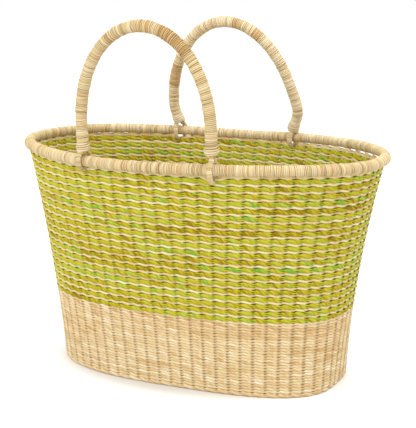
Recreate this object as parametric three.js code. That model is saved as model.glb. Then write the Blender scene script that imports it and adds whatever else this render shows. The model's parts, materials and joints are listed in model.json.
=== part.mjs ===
// Oval market tote: grass rows twined over upright stakes, a wrapped rim and two wrapped swing handles.
// Millimetres, +Z up, the long side along X, the front at -Y, the origin at the middle of the underside.

import * as THREE from 'three';
import { mergeVertices } from 'three/addons/utils/BufferGeometryUtils.js';

// Plan and height: the rim's centreline, and the weave's outer face at the floor
const RIM_HALF_LENGTH = 205;
const RIM_HALF_DEPTH = 122;
const RIM_SQUARENESS = 2.3;
const RIM_HEIGHT = 247;
const BASE_HALF_LENGTH = 165;
const BASE_HALF_DEPTH = 87.5;
const BASE_SQUARENESS = 2.55;

// Share of the wall's spread that is held back from its lower half and made up below the rim
const WALL_FLARE = 0.54;

// Air between pieces that touch on the real basket
const CLEARANCE = 0.3;

// Weave: the outer face stands this far outside the rim's centreline at the top
const WEAVE_OVERHANG = 1;
const WEAVE_THICKNESS = 4;
const ROW_PROUD = 1.2;
const PLAIN_BAND_TOP = 83.5;
const GREEN_ROWS = 20;
const PLAIN_ROWS = 25;
const RIDGE_DEPTH = 1.4;

// Floor of the basket and the twisted row that it stands on
const FLOOR_THICKNESS = 4.5;
const FLOOR_RIDGES = 4;
const FLOOR_RIDGE_DEPTH = 1.2;
const HEEL_WIDTH = 6;
const HEEL_HEIGHT = 6.4;
const HEEL_ROUNDING = 1.4;

// Open row under the rim, where the stakes stand bare
const STAKES = 64;
const STAKE_WIDTH = 3.4;
const STAKE_TOP_THICKNESS = 2;
const OPEN_ROW_HEIGHT = 1;

// Rim roll
const RIM_ROLL_RADIUS = 5.8;
const RIM_WRAP_THICKNESS = 2;

// Handles: a stilted arch on two feet, set a little off the middle, each leaning towards the front
const HANDLE_OFFSET = -8.2;
const HANDLE_HALF_SPAN = 74.4;
const HANDLE_LEG_HEIGHT = 35;
const FRONT_ARCH_RISE = 107.5;
const BACK_ARCH_RISE = 103.5;
const HANDLE_RADIUS = 6.3;
const HANDLE_BORE_RADIUS = 4.5;
const FRONT_LEAN = 3.5;
const BACK_LEAN = 14;

// Eyes: wrapped cords that pass round the rim, fork upwards and end as tails inside the handle's wrap
const EYE_CORD_RADIUS = 3;
const EYE_PLAY = 1;
const EYE_FORK_HEIGHT = 15;
const EYE_FORK_RADIUS = 2;
const EYE_TAIL_RADIUS = 1.8;
const EYE_TAIL_LENGTH = 14;

// Bindings: the wrap's last turns, wound over a seat at each foot
const BINDING_LOOPS = 3;
const BINDING_PITCH = 2.2;
const BINDING_CORD_RADIUS = 0.8;
const BINDING_SEAT_RADIUS = 5.1;

// Facets, and the heights at which each wall has a ring of corners
const STATIONS = 36;
const LOWER_WALL_LEVELS = 3;
const UPPER_WALL_LEVELS = 5;
const CORD_SIDES = 8;
const ARCH_STEPS = 20;
const EYE_STEPS = 9;
const BINDING_STEPS = 18;
const BINDING_SIDES = 6;

// Colours and finish
const STRAW = { color: 0xe6d3a8, roughness: 0.72, metalness: 0 };
const PALE_STRAW = { color: 0xebdcb4, roughness: 0.68, metalness: 0 };
const PINK_STRAW = { color: 0xe2c9a0, roughness: 0.74, metalness: 0 };
const GREEN_GRASS = { color: 0xb9c42c, roughness: 0.66, metalness: 0 };
const DARK_STRAW = { color: 0xc8a66c, roughness: 0.8, metalness: 0 };

// Values that follow from the ones above
const RIM_WRAP_BORE = RIM_ROLL_RADIUS - RIM_WRAP_THICKNESS;
const FACET_FLAT = Math.cos(Math.PI / CORD_SIDES);
const EYE_RADIUS = RIM_ROLL_RADIUS + EYE_PLAY + EYE_CORD_RADIUS;
const EYE_WINDOW_FLOOR = RIM_HEIGHT - EYE_RADIUS - EYE_CORD_RADIUS - CLEARANCE;
const STAKE_TOP = RIM_HEIGHT - RIM_ROLL_RADIUS * FACET_FLAT - CLEARANCE;
const SLOT_FLOOR = STAKE_TOP - OPEN_ROW_HEIGHT;
const ROW_PITCH = (SLOT_FLOOR - PLAIN_BAND_TOP) / (2 * GREEN_ROWS);
const CROWN_BOTTOM = Math.min(SLOT_FLOOR - ROW_PITCH, EYE_WINDOW_FLOOR) - ROW_PITCH;
const SHELL_OFFSET = -(ROW_PROUD + CLEARANCE);

// The weave's outer outline at a height. The spread from floor to rim follows s - flare * s * (1 - s).
function weaveOutline(height) {
  const share = height / RIM_HEIGHT;
  const spread = share - WALL_FLARE * share * (1 - share);
  return {
    halfLength: THREE.MathUtils.lerp(BASE_HALF_LENGTH, RIM_HALF_LENGTH + WEAVE_OVERHANG, spread),
    halfDepth: THREE.MathUtils.lerp(BASE_HALF_DEPTH, RIM_HALF_DEPTH + WEAVE_OVERHANG, spread),
    squareness: THREE.MathUtils.lerp(BASE_SQUARENESS, RIM_SQUARENESS, share),
  };
}

// A point of a superellipse at a turn, moved out along its normal by an offset.
function ovalPoint(outline, turn, offset) {
  const c = Math.cos(turn);
  const s = Math.sin(turn);
  const power = 2 / outline.squareness;
  const point = new THREE.Vector2(
    outline.halfLength * Math.sign(c) * Math.abs(c) ** power,
    outline.halfDepth * Math.sign(s) * Math.abs(s) ** power,
  );
  const normal = new THREE.Vector2(
    Math.sign(c) * Math.abs(c) ** (2 - power) / outline.halfLength,
    Math.sign(s) * Math.abs(s) ** (2 - power) / outline.halfDepth,
  );
  return point.addScaledVector(normal.normalize(), offset);
}

// Point of the faceted weave: place counts stations round the oval and may lie between two of them.
function weavePoint(place, height, offset) {
  const before = Math.floor(place);
  const step = 2 * Math.PI / STATIONS;
  const outline = weaveOutline(height);
  const start = ovalPoint(outline, before * step, offset);
  const end = ovalPoint(outline, (before + 1) * step, offset);
  const flat = start.lerp(end, place - before);
  return new THREE.Vector3(flat.x, flat.y, height);
}

// A closed solid from a grid of points: rows of equal length that close on themselves. The rows
// themselves close into a loop, or end in a row drawn together at one point.
function gridSolid(rows, loops) {
  const columns = rows[0].length;
  const positions = rows.flat().flatMap((point) => [point.x, point.y, point.z]);
  const corners = [];
  const lastRow = loops ? rows.length : rows.length - 1;
  for (let row = 0; row < lastRow; row += 1) {
    const next = (row + 1) % rows.length;
    for (let column = 0; column < columns; column += 1) {
      const right = (column + 1) % columns;
      const a = row * columns + column;
      const b = row * columns + right;
      const c = next * columns + right;
      const d = next * columns + column;
      corners.push(a, b, c, a, c, d);
    }
  }
  const geometry = new THREE.BufferGeometry();
  geometry.setAttribute('position', new THREE.Float32BufferAttribute(positions, 3));
  geometry.setIndex(corners);
  const merged = mergeVertices(geometry);
  const index = Array.from(merged.index.array);
  const kept = [];
  for (let i = 0; i < index.length; i += 3) {
    const [a, b, c] = index.slice(i, i + 3);
    if (a !== b && b !== c && c !== a) {
      kept.push(a, b, c);
    }
  }
  merged.setIndex(kept);
  merged.computeVertexNormals();
  return merged;
}

// A band round the basket. Its section lists corners as [offset, height], outer face upwards first.
function weaveBand(section) {
  const rows = section.map(([offset, height]) => {
    const row = [];
    for (let station = 0; station < STATIONS; station += 1) {
      row.push(weavePoint(station, height, offset));
    }
    return row;
  });
  return gridSolid(rows, true);
}

// Heights that share a stretch of wall evenly
function levels(bottom, top, count) {
  return Array.from({ length: count + 1 }, (_, i) => THREE.MathUtils.lerp(bottom, top, i / count));
}

// Stations of a flat path: points, with the two directions that span the section there. Across is the
// unit normal of the path's plane.
function stationsOf(points, across, loops) {
  return points.map((point, i) => {
    const last = points.length - 1;
    const before = points[i > 0 ? i - 1 : (loops ? last : 0)];
    const after = points[i < last ? i + 1 : (loops ? 0 : last)];
    const tangent = after.clone().sub(before).normalize();
    return { point, across, normal: across.clone().cross(tangent) };
  });
}

// A solid turned round a path, as a lathe turns one round an axis. The profile lists [station, radius].
// A closed profile makes a sleeve, and one that starts and ends at radius 0 makes a rod.
function turnedAlong(stations, profile, loops) {
  const rows = profile.map(([index, radius]) => {
    const { point, normal, across } = stations[index];
    const row = [];
    for (let side = 0; side < CORD_SIDES; side += 1) {
      const angle = (side + 0.5) * 2 * Math.PI / CORD_SIDES;
      const corner = point.clone();
      corner.addScaledVector(normal, radius * Math.cos(angle));
      corner.addScaledVector(across, radius * Math.sin(angle));
      row.push(corner);
    }
    return row;
  });
  return gridSolid(rows, loops);
}

// Whole numbers from the first to the last, counting down where the last is smaller
function range(first, last) {
  const step = first <= last ? 1 : -1;
  return Array.from({ length: Math.abs(last - first) + 1 }, (_, i) => first + i * step);
}

function namedMesh(name, geometry, finish) {
  const mesh = new THREE.Mesh(geometry, new THREE.MeshStandardMaterial(finish));
  mesh.name = name;
  return mesh;
}

// Floor: an oval disc with a flat underside and concentric ridges of twining on top
function floorDisc() {
  const centre = new THREE.Vector3(0, 0, 0);
  const edge = range(0, STATIONS - 1).map((i) => weavePoint(i, 0, -(HEEL_WIDTH + CLEARANCE)));
  const ring = (share, height) => edge.map((point) => {
    const scaled = point.clone().lerp(centre, 1 - share);
    scaled.z = height;
    return scaled;
  });
  const rows = [ring(0, 0), ring(1, 0), ring(1, FLOOR_THICKNESS - FLOOR_RIDGE_DEPTH)];
  for (let ridge = FLOOR_RIDGES; ridge > 0; ridge -= 1) {
    rows.push(ring((ridge - 0.5) / FLOOR_RIDGES, FLOOR_THICKNESS));
    rows.push(ring((ridge - 1) / FLOOR_RIDGES, FLOOR_THICKNESS - FLOOR_RIDGE_DEPTH));
  }
  return namedMesh('base_disc', gridSolid(rows, false), STRAW);
}

// Heel: the twisted row round the bottom edge, flat where it stands
function heelRow() {
  const section = [
    [-HEEL_ROUNDING, 0],
    [0, HEEL_ROUNDING],
    [0, HEEL_HEIGHT - HEEL_ROUNDING],
    [-HEEL_ROUNDING, HEEL_HEIGHT],
    [HEEL_ROUNDING - HEEL_WIDTH, HEEL_HEIGHT],
    [-HEEL_WIDTH, HEEL_HEIGHT / 2],
    [HEEL_ROUNDING - HEEL_WIDTH, 0],
  ];
  return namedMesh('heel_row', weaveBand(section), STRAW);
}

// Plain band: a ridge for each row
function lowerWall() {
  const bottom = HEEL_HEIGHT + CLEARANCE;
  const outer = levels(bottom, PLAIN_BAND_TOP, 2 * PLAIN_ROWS).map(
    (height, i) => [i % 2 === 0 ? -RIDGE_DEPTH : 0, height],
  );
  const inner = levels(PLAIN_BAND_TOP, bottom, LOWER_WALL_LEVELS).map((height) => [-WEAVE_THICKNESS, height]);
  return namedMesh('lower_wall', weaveBand([...outer, ...inner]), STRAW);
}

// Striped band: the natural rows and the stakes inside them, which the green rows lie against
function upperWall() {
  const bottom = PLAIN_BAND_TOP + CLEARANCE;
  const top = CROWN_BOTTOM - CLEARANCE;
  const outer = levels(bottom, top, UPPER_WALL_LEVELS).map((height) => [SHELL_OFFSET, height]);
  const inner = levels(top, bottom, UPPER_WALL_LEVELS).map((height) => [-WEAVE_THICKNESS, height]);
  return namedMesh('upper_wall', weaveBand([...outer, ...inner]), PINK_STRAW);
}

// Green rows, numbered from the rim down: the first lies on the crown, the rest share the wall evenly
function greenRows() {
  const pitch = (CROWN_BOTTOM - PLAIN_BAND_TOP) / (GREEN_ROWS - 1);
  return range(1, GREEN_ROWS).map((number) => {
    const bottom = CROWN_BOTTOM - (number - 1) * pitch;
    const section = [
      [-ROW_PROUD, bottom],
      [0, bottom + ROW_PITCH / 2],
      [-ROW_PROUD, bottom + ROW_PITCH],
    ];
    const name = `green_row_${String(number).padStart(2, '0')}`;
    return namedMesh(name, weaveBand(section), GREEN_GRASS);
  });
}

// Centreline of the rim, as faceted as the weave below it
const RIM_PATH = range(0, STATIONS - 1).map((i) => {
  const outline = { halfLength: RIM_HALF_LENGTH, halfDepth: RIM_HALF_DEPTH, squareness: RIM_SQUARENESS };
  const flat = ovalPoint(outline, i * 2 * Math.PI / STATIONS, 0);
  return new THREE.Vector3(flat.x, flat.y, RIM_HEIGHT);
});

// The point of the rim's centreline at an x, on the front (side -1) or the back (side 1)
function rimPointAt(x, side) {
  const start = RIM_PATH.findIndex((point, i) => {
    const next = RIM_PATH[(i + 1) % STATIONS];
    const between = (point.x - x) * (next.x - x) <= 0;
    return between && Math.sign(point.y + next.y) === side;
  });
  const from = RIM_PATH[start];
  const to = RIM_PATH[(start + 1) % STATIONS];
  return from.clone().lerp(to, (x - from.x) / (to.x - from.x));
}

const FEET_X = [HANDLE_OFFSET - HANDLE_HALF_SPAN, HANDLE_OFFSET + HANDLE_HALF_SPAN];

// Places of the stakes: even spacing along the wall, pushed aside where an eye passes between two
function stakePlaces() {
  const height = SLOT_FLOOR;
  const middle = -WEAVE_THICKNESS / 2;
  const reach = [0];
  for (let i = 0; i < STATIONS; i += 1) {
    const chord = weavePoint(i + 1, height, middle).distanceTo(weavePoint(i, height, middle));
    reach.push(reach[i] + chord);
  }
  const placeAt = (distance) => {
    const before = reach.findLastIndex((value) => value <= distance);
    return before + (distance - reach[before]) / (reach[before + 1] - reach[before]);
  };
  const spacing = reach[STATIONS] / STAKES;
  const eyes = [-1, 1].flatMap((side) => FEET_X.map((x) => {
    const foot = rimPointAt(x, side);
    const distances = levels(0, reach[STATIONS], Math.round(reach[STATIONS])).slice(0, -1);
    const away = (distance) => weavePoint(placeAt(distance), height, middle).setZ(foot.z).distanceTo(foot);
    return distances.reduce((best, distance) => (away(distance) < away(best) ? distance : best));
  }));
  const eyeRoom = EYE_CORD_RADIUS + STAKE_WIDTH / 2 + 2 * CLEARANCE + EYE_PLAY;
  return range(0, STAKES - 1).map((number) => {
    let centre = (number + 0.5) * spacing;
    for (const eye of eyes) {
      if (Math.abs(centre - eye) < eyeRoom) {
        centre = eye + eyeRoom * (centre < eye ? -1 : 1);
      }
    }
    const nextEye = eyes.some((eye) => eye > centre && eye - centre < spacing);
    return {
      left: placeAt(centre - STAKE_WIDTH / 2),
      right: placeAt(centre + STAKE_WIDTH / 2),
      floor: nextEye ? EYE_WINDOW_FLOOR : SLOT_FLOOR,
    };
  });
}

// Crown: the top natural row with the stakes standing on it. The slots between stakes are the open
// row, and the four that an eye passes through are cut deeper.
function stakeCrown() {
  const stakes = stakePlaces();
  const taper = (WEAVE_THICKNESS + SHELL_OFFSET - STAKE_TOP_THICKNESS) / 2;
  const column = (place, floor, height) => {
    const thin = height > floor ? taper : 0;
    return [
      weavePoint(place, height, SHELL_OFFSET - thin),
      weavePoint(place, height, thin - WEAVE_THICKNESS),
    ];
  };
  const quads = [];
  const face = (a, b, c, d) => quads.push(a, b, c, a, c, d);
  stakes.forEach((stake, i) => {
    const next = stakes[(i + 1) % STAKES];
    const floorBefore = stakes[(i + STAKES - 1) % STAKES].floor;
    const [lowL, lowL2] = column(stake.left, floorBefore, CROWN_BOTTOM);
    const [midL, midL2] = column(stake.left, floorBefore, floorBefore);
    const [topL, topL2] = column(stake.left, floorBefore, STAKE_TOP);
    const [lowR, lowR2] = column(stake.right, stake.floor, CROWN_BOTTOM);
    const [midR, midR2] = column(stake.right, stake.floor, stake.floor);
    const [topR, topR2] = column(stake.right, stake.floor, STAKE_TOP);
    const [lowN, lowN2] = column(next.left, stake.floor, CROWN_BOTTOM);
    const [midN, midN2] = column(next.left, stake.floor, stake.floor);
    face(lowL, lowR, midR, midL);
    face(midL, midR, topR, topL);
    face(lowR, lowN, midN, midR);
    face(lowR2, lowL2, midL2, midR2);
    face(midR2, midL2, topL2, topR2);
    face(lowN2, lowR2, midR2, midN2);
    face(topL, topR, topR2, topL2);
    face(midL2, midL, topL, topL2);
    face(midR, midR2, topR2, topR);
    face(midR, midN, midN2, midR2);
    face(lowL2, lowR2, lowR, lowL);
    face(lowR2, lowN2, lowN, lowR);
  });
  const geometry = new THREE.BufferGeometry().setFromPoints(quads);
  return namedMesh('stake_crown', mergeVertices(geometry), PINK_STRAW);
}

// Rim: a hoop of bundled grass inside four lengths of wrapping that meet at the corners of the oval
function rimParts() {
  const up = new THREE.Vector3(0, 0, 1);
  const hoop = stationsOf(RIM_PATH, up, true);
  const coreRadius = RIM_WRAP_BORE - CLEARANCE / FACET_FLAT;
  const core = turnedAlong(hoop, range(0, STATIONS - 1).map((i) => [i, coreRadius]), true);
  const parts = [namedMesh('rim_core', core, DARK_STRAW)];
  const quarter = STATIONS / 4;
  ['right', 'back', 'left', 'front'].forEach((name, i) => {
    const first = Math.round((i - 0.5) * quarter);
    const last = Math.round((i + 0.5) * quarter);
    const stretch = range(first, last).map((station) => {
      const { point, normal, across } = hoop[(station + STATIONS) % STATIONS];
      return { point: point.clone(), normal, across };
    });
    const end = stretch.length - 1;
    const trim = (from, towards) => {
      const chord = towards.point.clone().sub(from.point);
      from.point.addScaledVector(chord.normalize(), CLEARANCE / 2);
    };
    trim(stretch[0], stretch[1]);
    trim(stretch[end], stretch[end - 1]);
    const outside = range(0, end).map((station) => [station, RIM_ROLL_RADIUS]);
    const bore = range(end, 0).map((station) => [station, RIM_WRAP_BORE]);
    const sleeve = turnedAlong(stretch, [...outside, ...bore], true);
    parts.push(namedMesh(`rim_wrap_${name}`, sleeve, PALE_STRAW));
  });
  return parts;
}

// Heights on a handle's leg, measured from the rim's centreline
const WRAP_END = EYE_FORK_HEIGHT + EYE_FORK_RADIUS / 2;
const BINDING_BOTTOM = WRAP_END + BINDING_CORD_RADIUS + CLEARANCE;
const BINDING_TOP = BINDING_BOTTOM + BINDING_LOOPS * BINDING_PITCH;
const SEAT_TOP = BINDING_TOP + BINDING_CORD_RADIUS + CLEARANCE;
const TAIL_TOP = WRAP_END + EYE_TAIL_LENGTH;

// Path of a handle from its left foot to its right one: straight legs and half an ellipse that rises
// from them
function archPoints(lowHeights, rise) {
  const leg = (side, heights) => heights.map((z) => new THREE.Vector3(side * HANDLE_HALF_SPAN, 0, z));
  const arch = range(0, ARCH_STEPS).map((step) => {
    const angle = Math.PI * (1 - step / ARCH_STEPS);
    return new THREE.Vector3(
      HANDLE_HALF_SPAN * Math.cos(angle),
      0,
      HANDLE_LEG_HEIGHT + rise * Math.sin(angle),
    );
  });
  return [...leg(-1, lowHeights), ...arch, ...leg(1, [...lowHeights].reverse())];
}

const HANDLE_ACROSS = new THREE.Vector3(0, 1, 0);

// Core: the bundle of grass inside the wrap, from tail to tail
function handleCore(rise) {
  const stations = stationsOf(archPoints([TAIL_TOP + CLEARANCE], rise), HANDLE_ACROSS, false);
  const radius = HANDLE_BORE_RADIUS - CLEARANCE / FACET_FLAT;
  const last = stations.length - 1;
  const rod = range(0, last).map((i) => [i, radius]);
  return turnedAlong(stations, [[0, 0], ...rod, [last, 0]], false);
}

// Wrap: a sleeve over the core and the tails, stepped down at both ends to seat the bindings
function handleWrap(rise) {
  const stations = stationsOf(archPoints([WRAP_END, SEAT_TOP], rise), HANDLE_ACROSS, false);
  const last = stations.length - 1;
  const outside = range(1, last - 1).map((i) => [i, HANDLE_RADIUS]);
  const bore = range(last, 0).map((i) => [i, HANDLE_BORE_RADIUS]);
  const profile = [
    [0, BINDING_SEAT_RADIUS],
    [1, BINDING_SEAT_RADIUS],
    ...outside,
    [last - 1, BINDING_SEAT_RADIUS],
    [last, BINDING_SEAT_RADIUS],
    ...bore,
  ];
  return turnedAlong(stations, profile, true);
}

// Eye: an arc round the rim, closed by two straight legs that touch it and lean together into the
// fork, and two tails that run up inside the wrap. The cord thins from the arc to the fork.
function eyeCord() {
  const tailSide = EYE_TAIL_RADIUS + CLEARANCE;
  const forkSide = EYE_FORK_RADIUS + CLEARANCE;
  const forkReach = Math.hypot(forkSide, EYE_FORK_HEIGHT);
  const touch = Math.atan2(EYE_FORK_HEIGHT, forkSide) - Math.acos(EYE_RADIUS / forkReach);
  const arc = levels(touch, -Math.PI - touch, EYE_STEPS).map(
    (angle) => new THREE.Vector3(0, EYE_RADIUS * Math.cos(angle), EYE_RADIUS * Math.sin(angle)),
  );
  const points = [
    new THREE.Vector3(0, tailSide, TAIL_TOP),
    new THREE.Vector3(0, tailSide, WRAP_END),
    new THREE.Vector3(0, forkSide, EYE_FORK_HEIGHT),
    ...arc,
    new THREE.Vector3(0, -forkSide, EYE_FORK_HEIGHT),
    new THREE.Vector3(0, -tailSide, WRAP_END),
    new THREE.Vector3(0, -tailSide, TAIL_TOP),
  ];
  const stations = stationsOf(points, new THREE.Vector3(1, 0, 0), false);
  const last = points.length - 1;
  const profile = [
    [0, 0],
    [0, EYE_TAIL_RADIUS],
    [1, EYE_TAIL_RADIUS],
    [2, EYE_FORK_RADIUS],
    ...range(3, last - 3).map((i) => [i, EYE_CORD_RADIUS]),
    [last - 2, EYE_FORK_RADIUS],
    [last - 1, EYE_TAIL_RADIUS],
    [last, EYE_TAIL_RADIUS],
    [last, 0],
  ];
  return turnedAlong(stations, profile, false);
}

// Helix of a binding round its seat, one unbroken cord
class BindingHelix extends THREE.Curve {
  getPoint(t, target = new THREE.Vector3()) {
    const radius = BINDING_SEAT_RADIUS + CLEARANCE + BINDING_CORD_RADIUS;
    const angle = 2 * Math.PI * BINDING_LOOPS * t;
    const height = THREE.MathUtils.lerp(BINDING_BOTTOM, BINDING_TOP, t);
    return target.set(radius * Math.cos(angle), radius * Math.sin(angle), height);
  }
}

function bindingCoil() {
  const section = new THREE.Shape();
  section.absarc(0, 0, BINDING_CORD_RADIUS, 0, 2 * Math.PI);
  const corners = new THREE.Shape(section.getPoints(BINDING_SIDES).slice(0, BINDING_SIDES));
  return new THREE.ExtrudeGeometry(corners, {
    steps: BINDING_STEPS * BINDING_LOOPS,
    extrudePath: new BindingHelix(),
  });
}

// The least air between two turns of a binding, measured between points of its path
function leastBindingGap() {
  const points = new BindingHelix().getSpacedPoints(BINDING_STEPS * BINDING_LOOPS);
  let least = Infinity;
  points.forEach((point, i) => {
    points.slice(i + BINDING_STEPS / 2).forEach((other) => {
      least = Math.min(least, point.distanceTo(other) - 2 * BINDING_CORD_RADIUS);
    });
  });
  return least;
}

console.log(`least gap between a binding's turns: ${leastBindingGap().toFixed(2)} mm`);

// A handle with its arch's rise, standing on the rim at its two feet and leaning towards the front
function swingHandle(name, side, rise, lean) {
  const [left, right] = FEET_X.map((x) => rimPointAt(x, side));
  const handle = new THREE.Group();
  handle.position.copy(left).lerp(right, 0.5);
  const yaw = Math.atan2(right.y - left.y, right.x - left.x);
  handle.rotation.set(THREE.MathUtils.degToRad(lean), 0, yaw, 'ZXY');
  handle.add(namedMesh(`${name}_handle_core`, handleCore(rise), DARK_STRAW));
  handle.add(namedMesh(`${name}_handle_wrap`, handleWrap(rise), PALE_STRAW));
  [['left', -1], ['right', 1]].forEach(([end, way]) => {
    const eye = namedMesh(`${name}_eye_${end}`, eyeCord(), PALE_STRAW);
    eye.position.x = way * HANDLE_HALF_SPAN;
    const binding = namedMesh(`${name}_binding_${end}`, bindingCoil(), PALE_STRAW);
    binding.position.x = way * HANDLE_HALF_SPAN;
    handle.add(eye, binding);
  });
  return handle;
}

const group = new THREE.Group();
group.add(floorDisc(), heelRow(), lowerWall(), upperWall(), ...greenRows(), stakeCrown(), ...rimParts());
group.add(swingHandle('front', -1, FRONT_ARCH_RISE, FRONT_LEAN));
group.add(swingHandle('back', 1, BACK_ARCH_RISE, BACK_LEAN));

export default group;
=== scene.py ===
"""Oval market tote of twined grass: striped walls, a plain lower band, a wound rim, two swing handles.

Metres, +Z up, the long side along X, the front at -Y, the origin at the middle of the underside.
"""

import json
import logging
import math
from dataclasses import dataclass
from enum import Enum, IntEnum
from typing import Any, Callable, Sequence

import bpy
import numpy as np
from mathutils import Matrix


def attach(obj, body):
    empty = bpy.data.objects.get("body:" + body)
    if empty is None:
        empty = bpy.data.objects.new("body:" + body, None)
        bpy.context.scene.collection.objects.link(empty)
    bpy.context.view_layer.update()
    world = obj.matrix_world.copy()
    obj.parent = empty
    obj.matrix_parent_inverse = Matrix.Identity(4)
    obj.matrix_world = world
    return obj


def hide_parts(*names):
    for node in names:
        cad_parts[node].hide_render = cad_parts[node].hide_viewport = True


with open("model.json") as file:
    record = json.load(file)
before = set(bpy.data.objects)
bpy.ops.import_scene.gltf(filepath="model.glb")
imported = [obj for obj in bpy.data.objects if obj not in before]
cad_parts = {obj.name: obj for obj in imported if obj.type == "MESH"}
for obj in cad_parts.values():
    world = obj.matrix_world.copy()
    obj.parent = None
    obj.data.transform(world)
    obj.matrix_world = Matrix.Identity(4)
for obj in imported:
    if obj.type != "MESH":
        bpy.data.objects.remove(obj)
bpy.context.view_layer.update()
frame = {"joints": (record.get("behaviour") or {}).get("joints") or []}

log = logging.getLogger("tote")
MM = 0.001
SEED = 4207
GRAIN_SHIFT = 0.37
SEARCH_STEPS = 6400
SEARCH_DEPTH = -2.2 * MM
Array = np.ndarray
Colour = tuple[float, float, float]
Vector = tuple[float, float, float]


class Body(str, Enum):
    """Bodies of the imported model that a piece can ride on."""

    BASKET = "basket"
    FRONT = "front_handle"
    BACK = "back_handle"


class Slot(str, Enum):
    """Material slots of the record."""

    PLAIN = "plain_straw"
    STRIPED = "striped_straw"
    GREEN = "green_grass"
    CORE = "bundle_core"
    WRAPPING = "wrapping"


class Seed(IntEnum):
    """First seed of each group of pieces."""

    GREEN_ROWS = 100
    LOWER_NATURAL_ROWS = 210
    UPPER_NATURAL_ROWS = 211
    PLAIN_ROWS = 300
    HEEL = 401
    FLOOR = 500
    STAKES = 600
    RIM_ROLL = 700
    RIM_BUMPS = 701
    RIM_WINDING = 710
    FRONT_HANDLE = 800
    BACK_HANDLE = 1000


class Side(Enum):
    """The two long sides, by the sign of Y."""

    FRONT = -1
    BACK = 1


def unit(vectors: Array) -> Array:
    """Scales vectors to length 1.

    Args:
        vectors: array whose last axis is x, y, z.

    Returns:
        The same directions, each divided by its own length.
    """
    return vectors / np.maximum(np.linalg.norm(vectors, axis=-1, keepdims=True), 1e-12)


def srgb(red: int, green: int, blue: int) -> Colour:
    """Turns a screen colour into the linear colour that a shader reads, by the sRGB curve.

    Args:
        red: 0 to 255.
        green: 0 to 255.
        blue: 0 to 255.

    Returns:
        Three shares of 0 to 1.
    """
    shares = np.array([red, green, blue]) / 255
    linear = np.where(shares <= 0.04045, shares / 12.92, ((shares + 0.055) / 1.055) ** 2.4)
    return tuple(float(value) for value in linear)


def seeded(seed: int) -> np.random.Generator:
    """Random source of one group of pieces, the same in every run."""
    return np.random.default_rng(SEED + seed)


def cosine_steps(knots: Array, places: Array) -> Array:
    """Reads a loop of knots with a smooth step from each to the next: share = (1 - cos(pi t)) / 2.

    Args:
        knots: values at the whole numbers from 0.
        places: where they are read, on a loop as long as the number of knots.

    Returns:
        One value for each place.
    """
    low = np.floor(places).astype(int)
    share = 0.5 - 0.5 * np.cos(np.pi * (places - low))
    return knots[low % len(knots)] * (1 - share) + knots[(low + 1) % len(knots)] * share


def smooth_noise(places: Array, period: float, rng: np.random.Generator) -> Array:
    """Random values that change smoothly: seeded knots joined by cosine steps.

    Args:
        places: where the noise is read, on a loop of length period.
        period: whole number of knots round the loop.
        rng: seeded source of the knots.

    Returns:
        Values between -1 and 1, equal at the two ends of the loop.
    """
    return cosine_steps(rng.uniform(-1.0, 1.0, int(period)), places)


def run_values(
    count: int,
    shortest: int,
    longest: int,
    rng: np.random.Generator,
    blade_spread: float = 0.17,
    stitch_spread: float = 0.06,
) -> Array:
    """Shades of grass along a strand, which change where a new blade is laid in.

    Args:
        count: number of stitches or turns.
        shortest: fewest stitches that one blade lasts.
        longest: most stitches that one blade lasts.
        rng: seeded source.
        blade_spread: how unlike two blades are.
        stitch_spread: how unlike two stitches of one blade are.

    Returns:
        One value between 0 and 1 for each stitch, constant along a run apart from a small spread.
    """
    lengths = rng.integers(shortest, longest + 1, count)
    values = np.repeat(rng.normal(0.5, blade_spread, count), lengths)[:count]
    return np.clip(values + rng.normal(0.0, stitch_spread, count), 0.0, 1.0)


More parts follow.
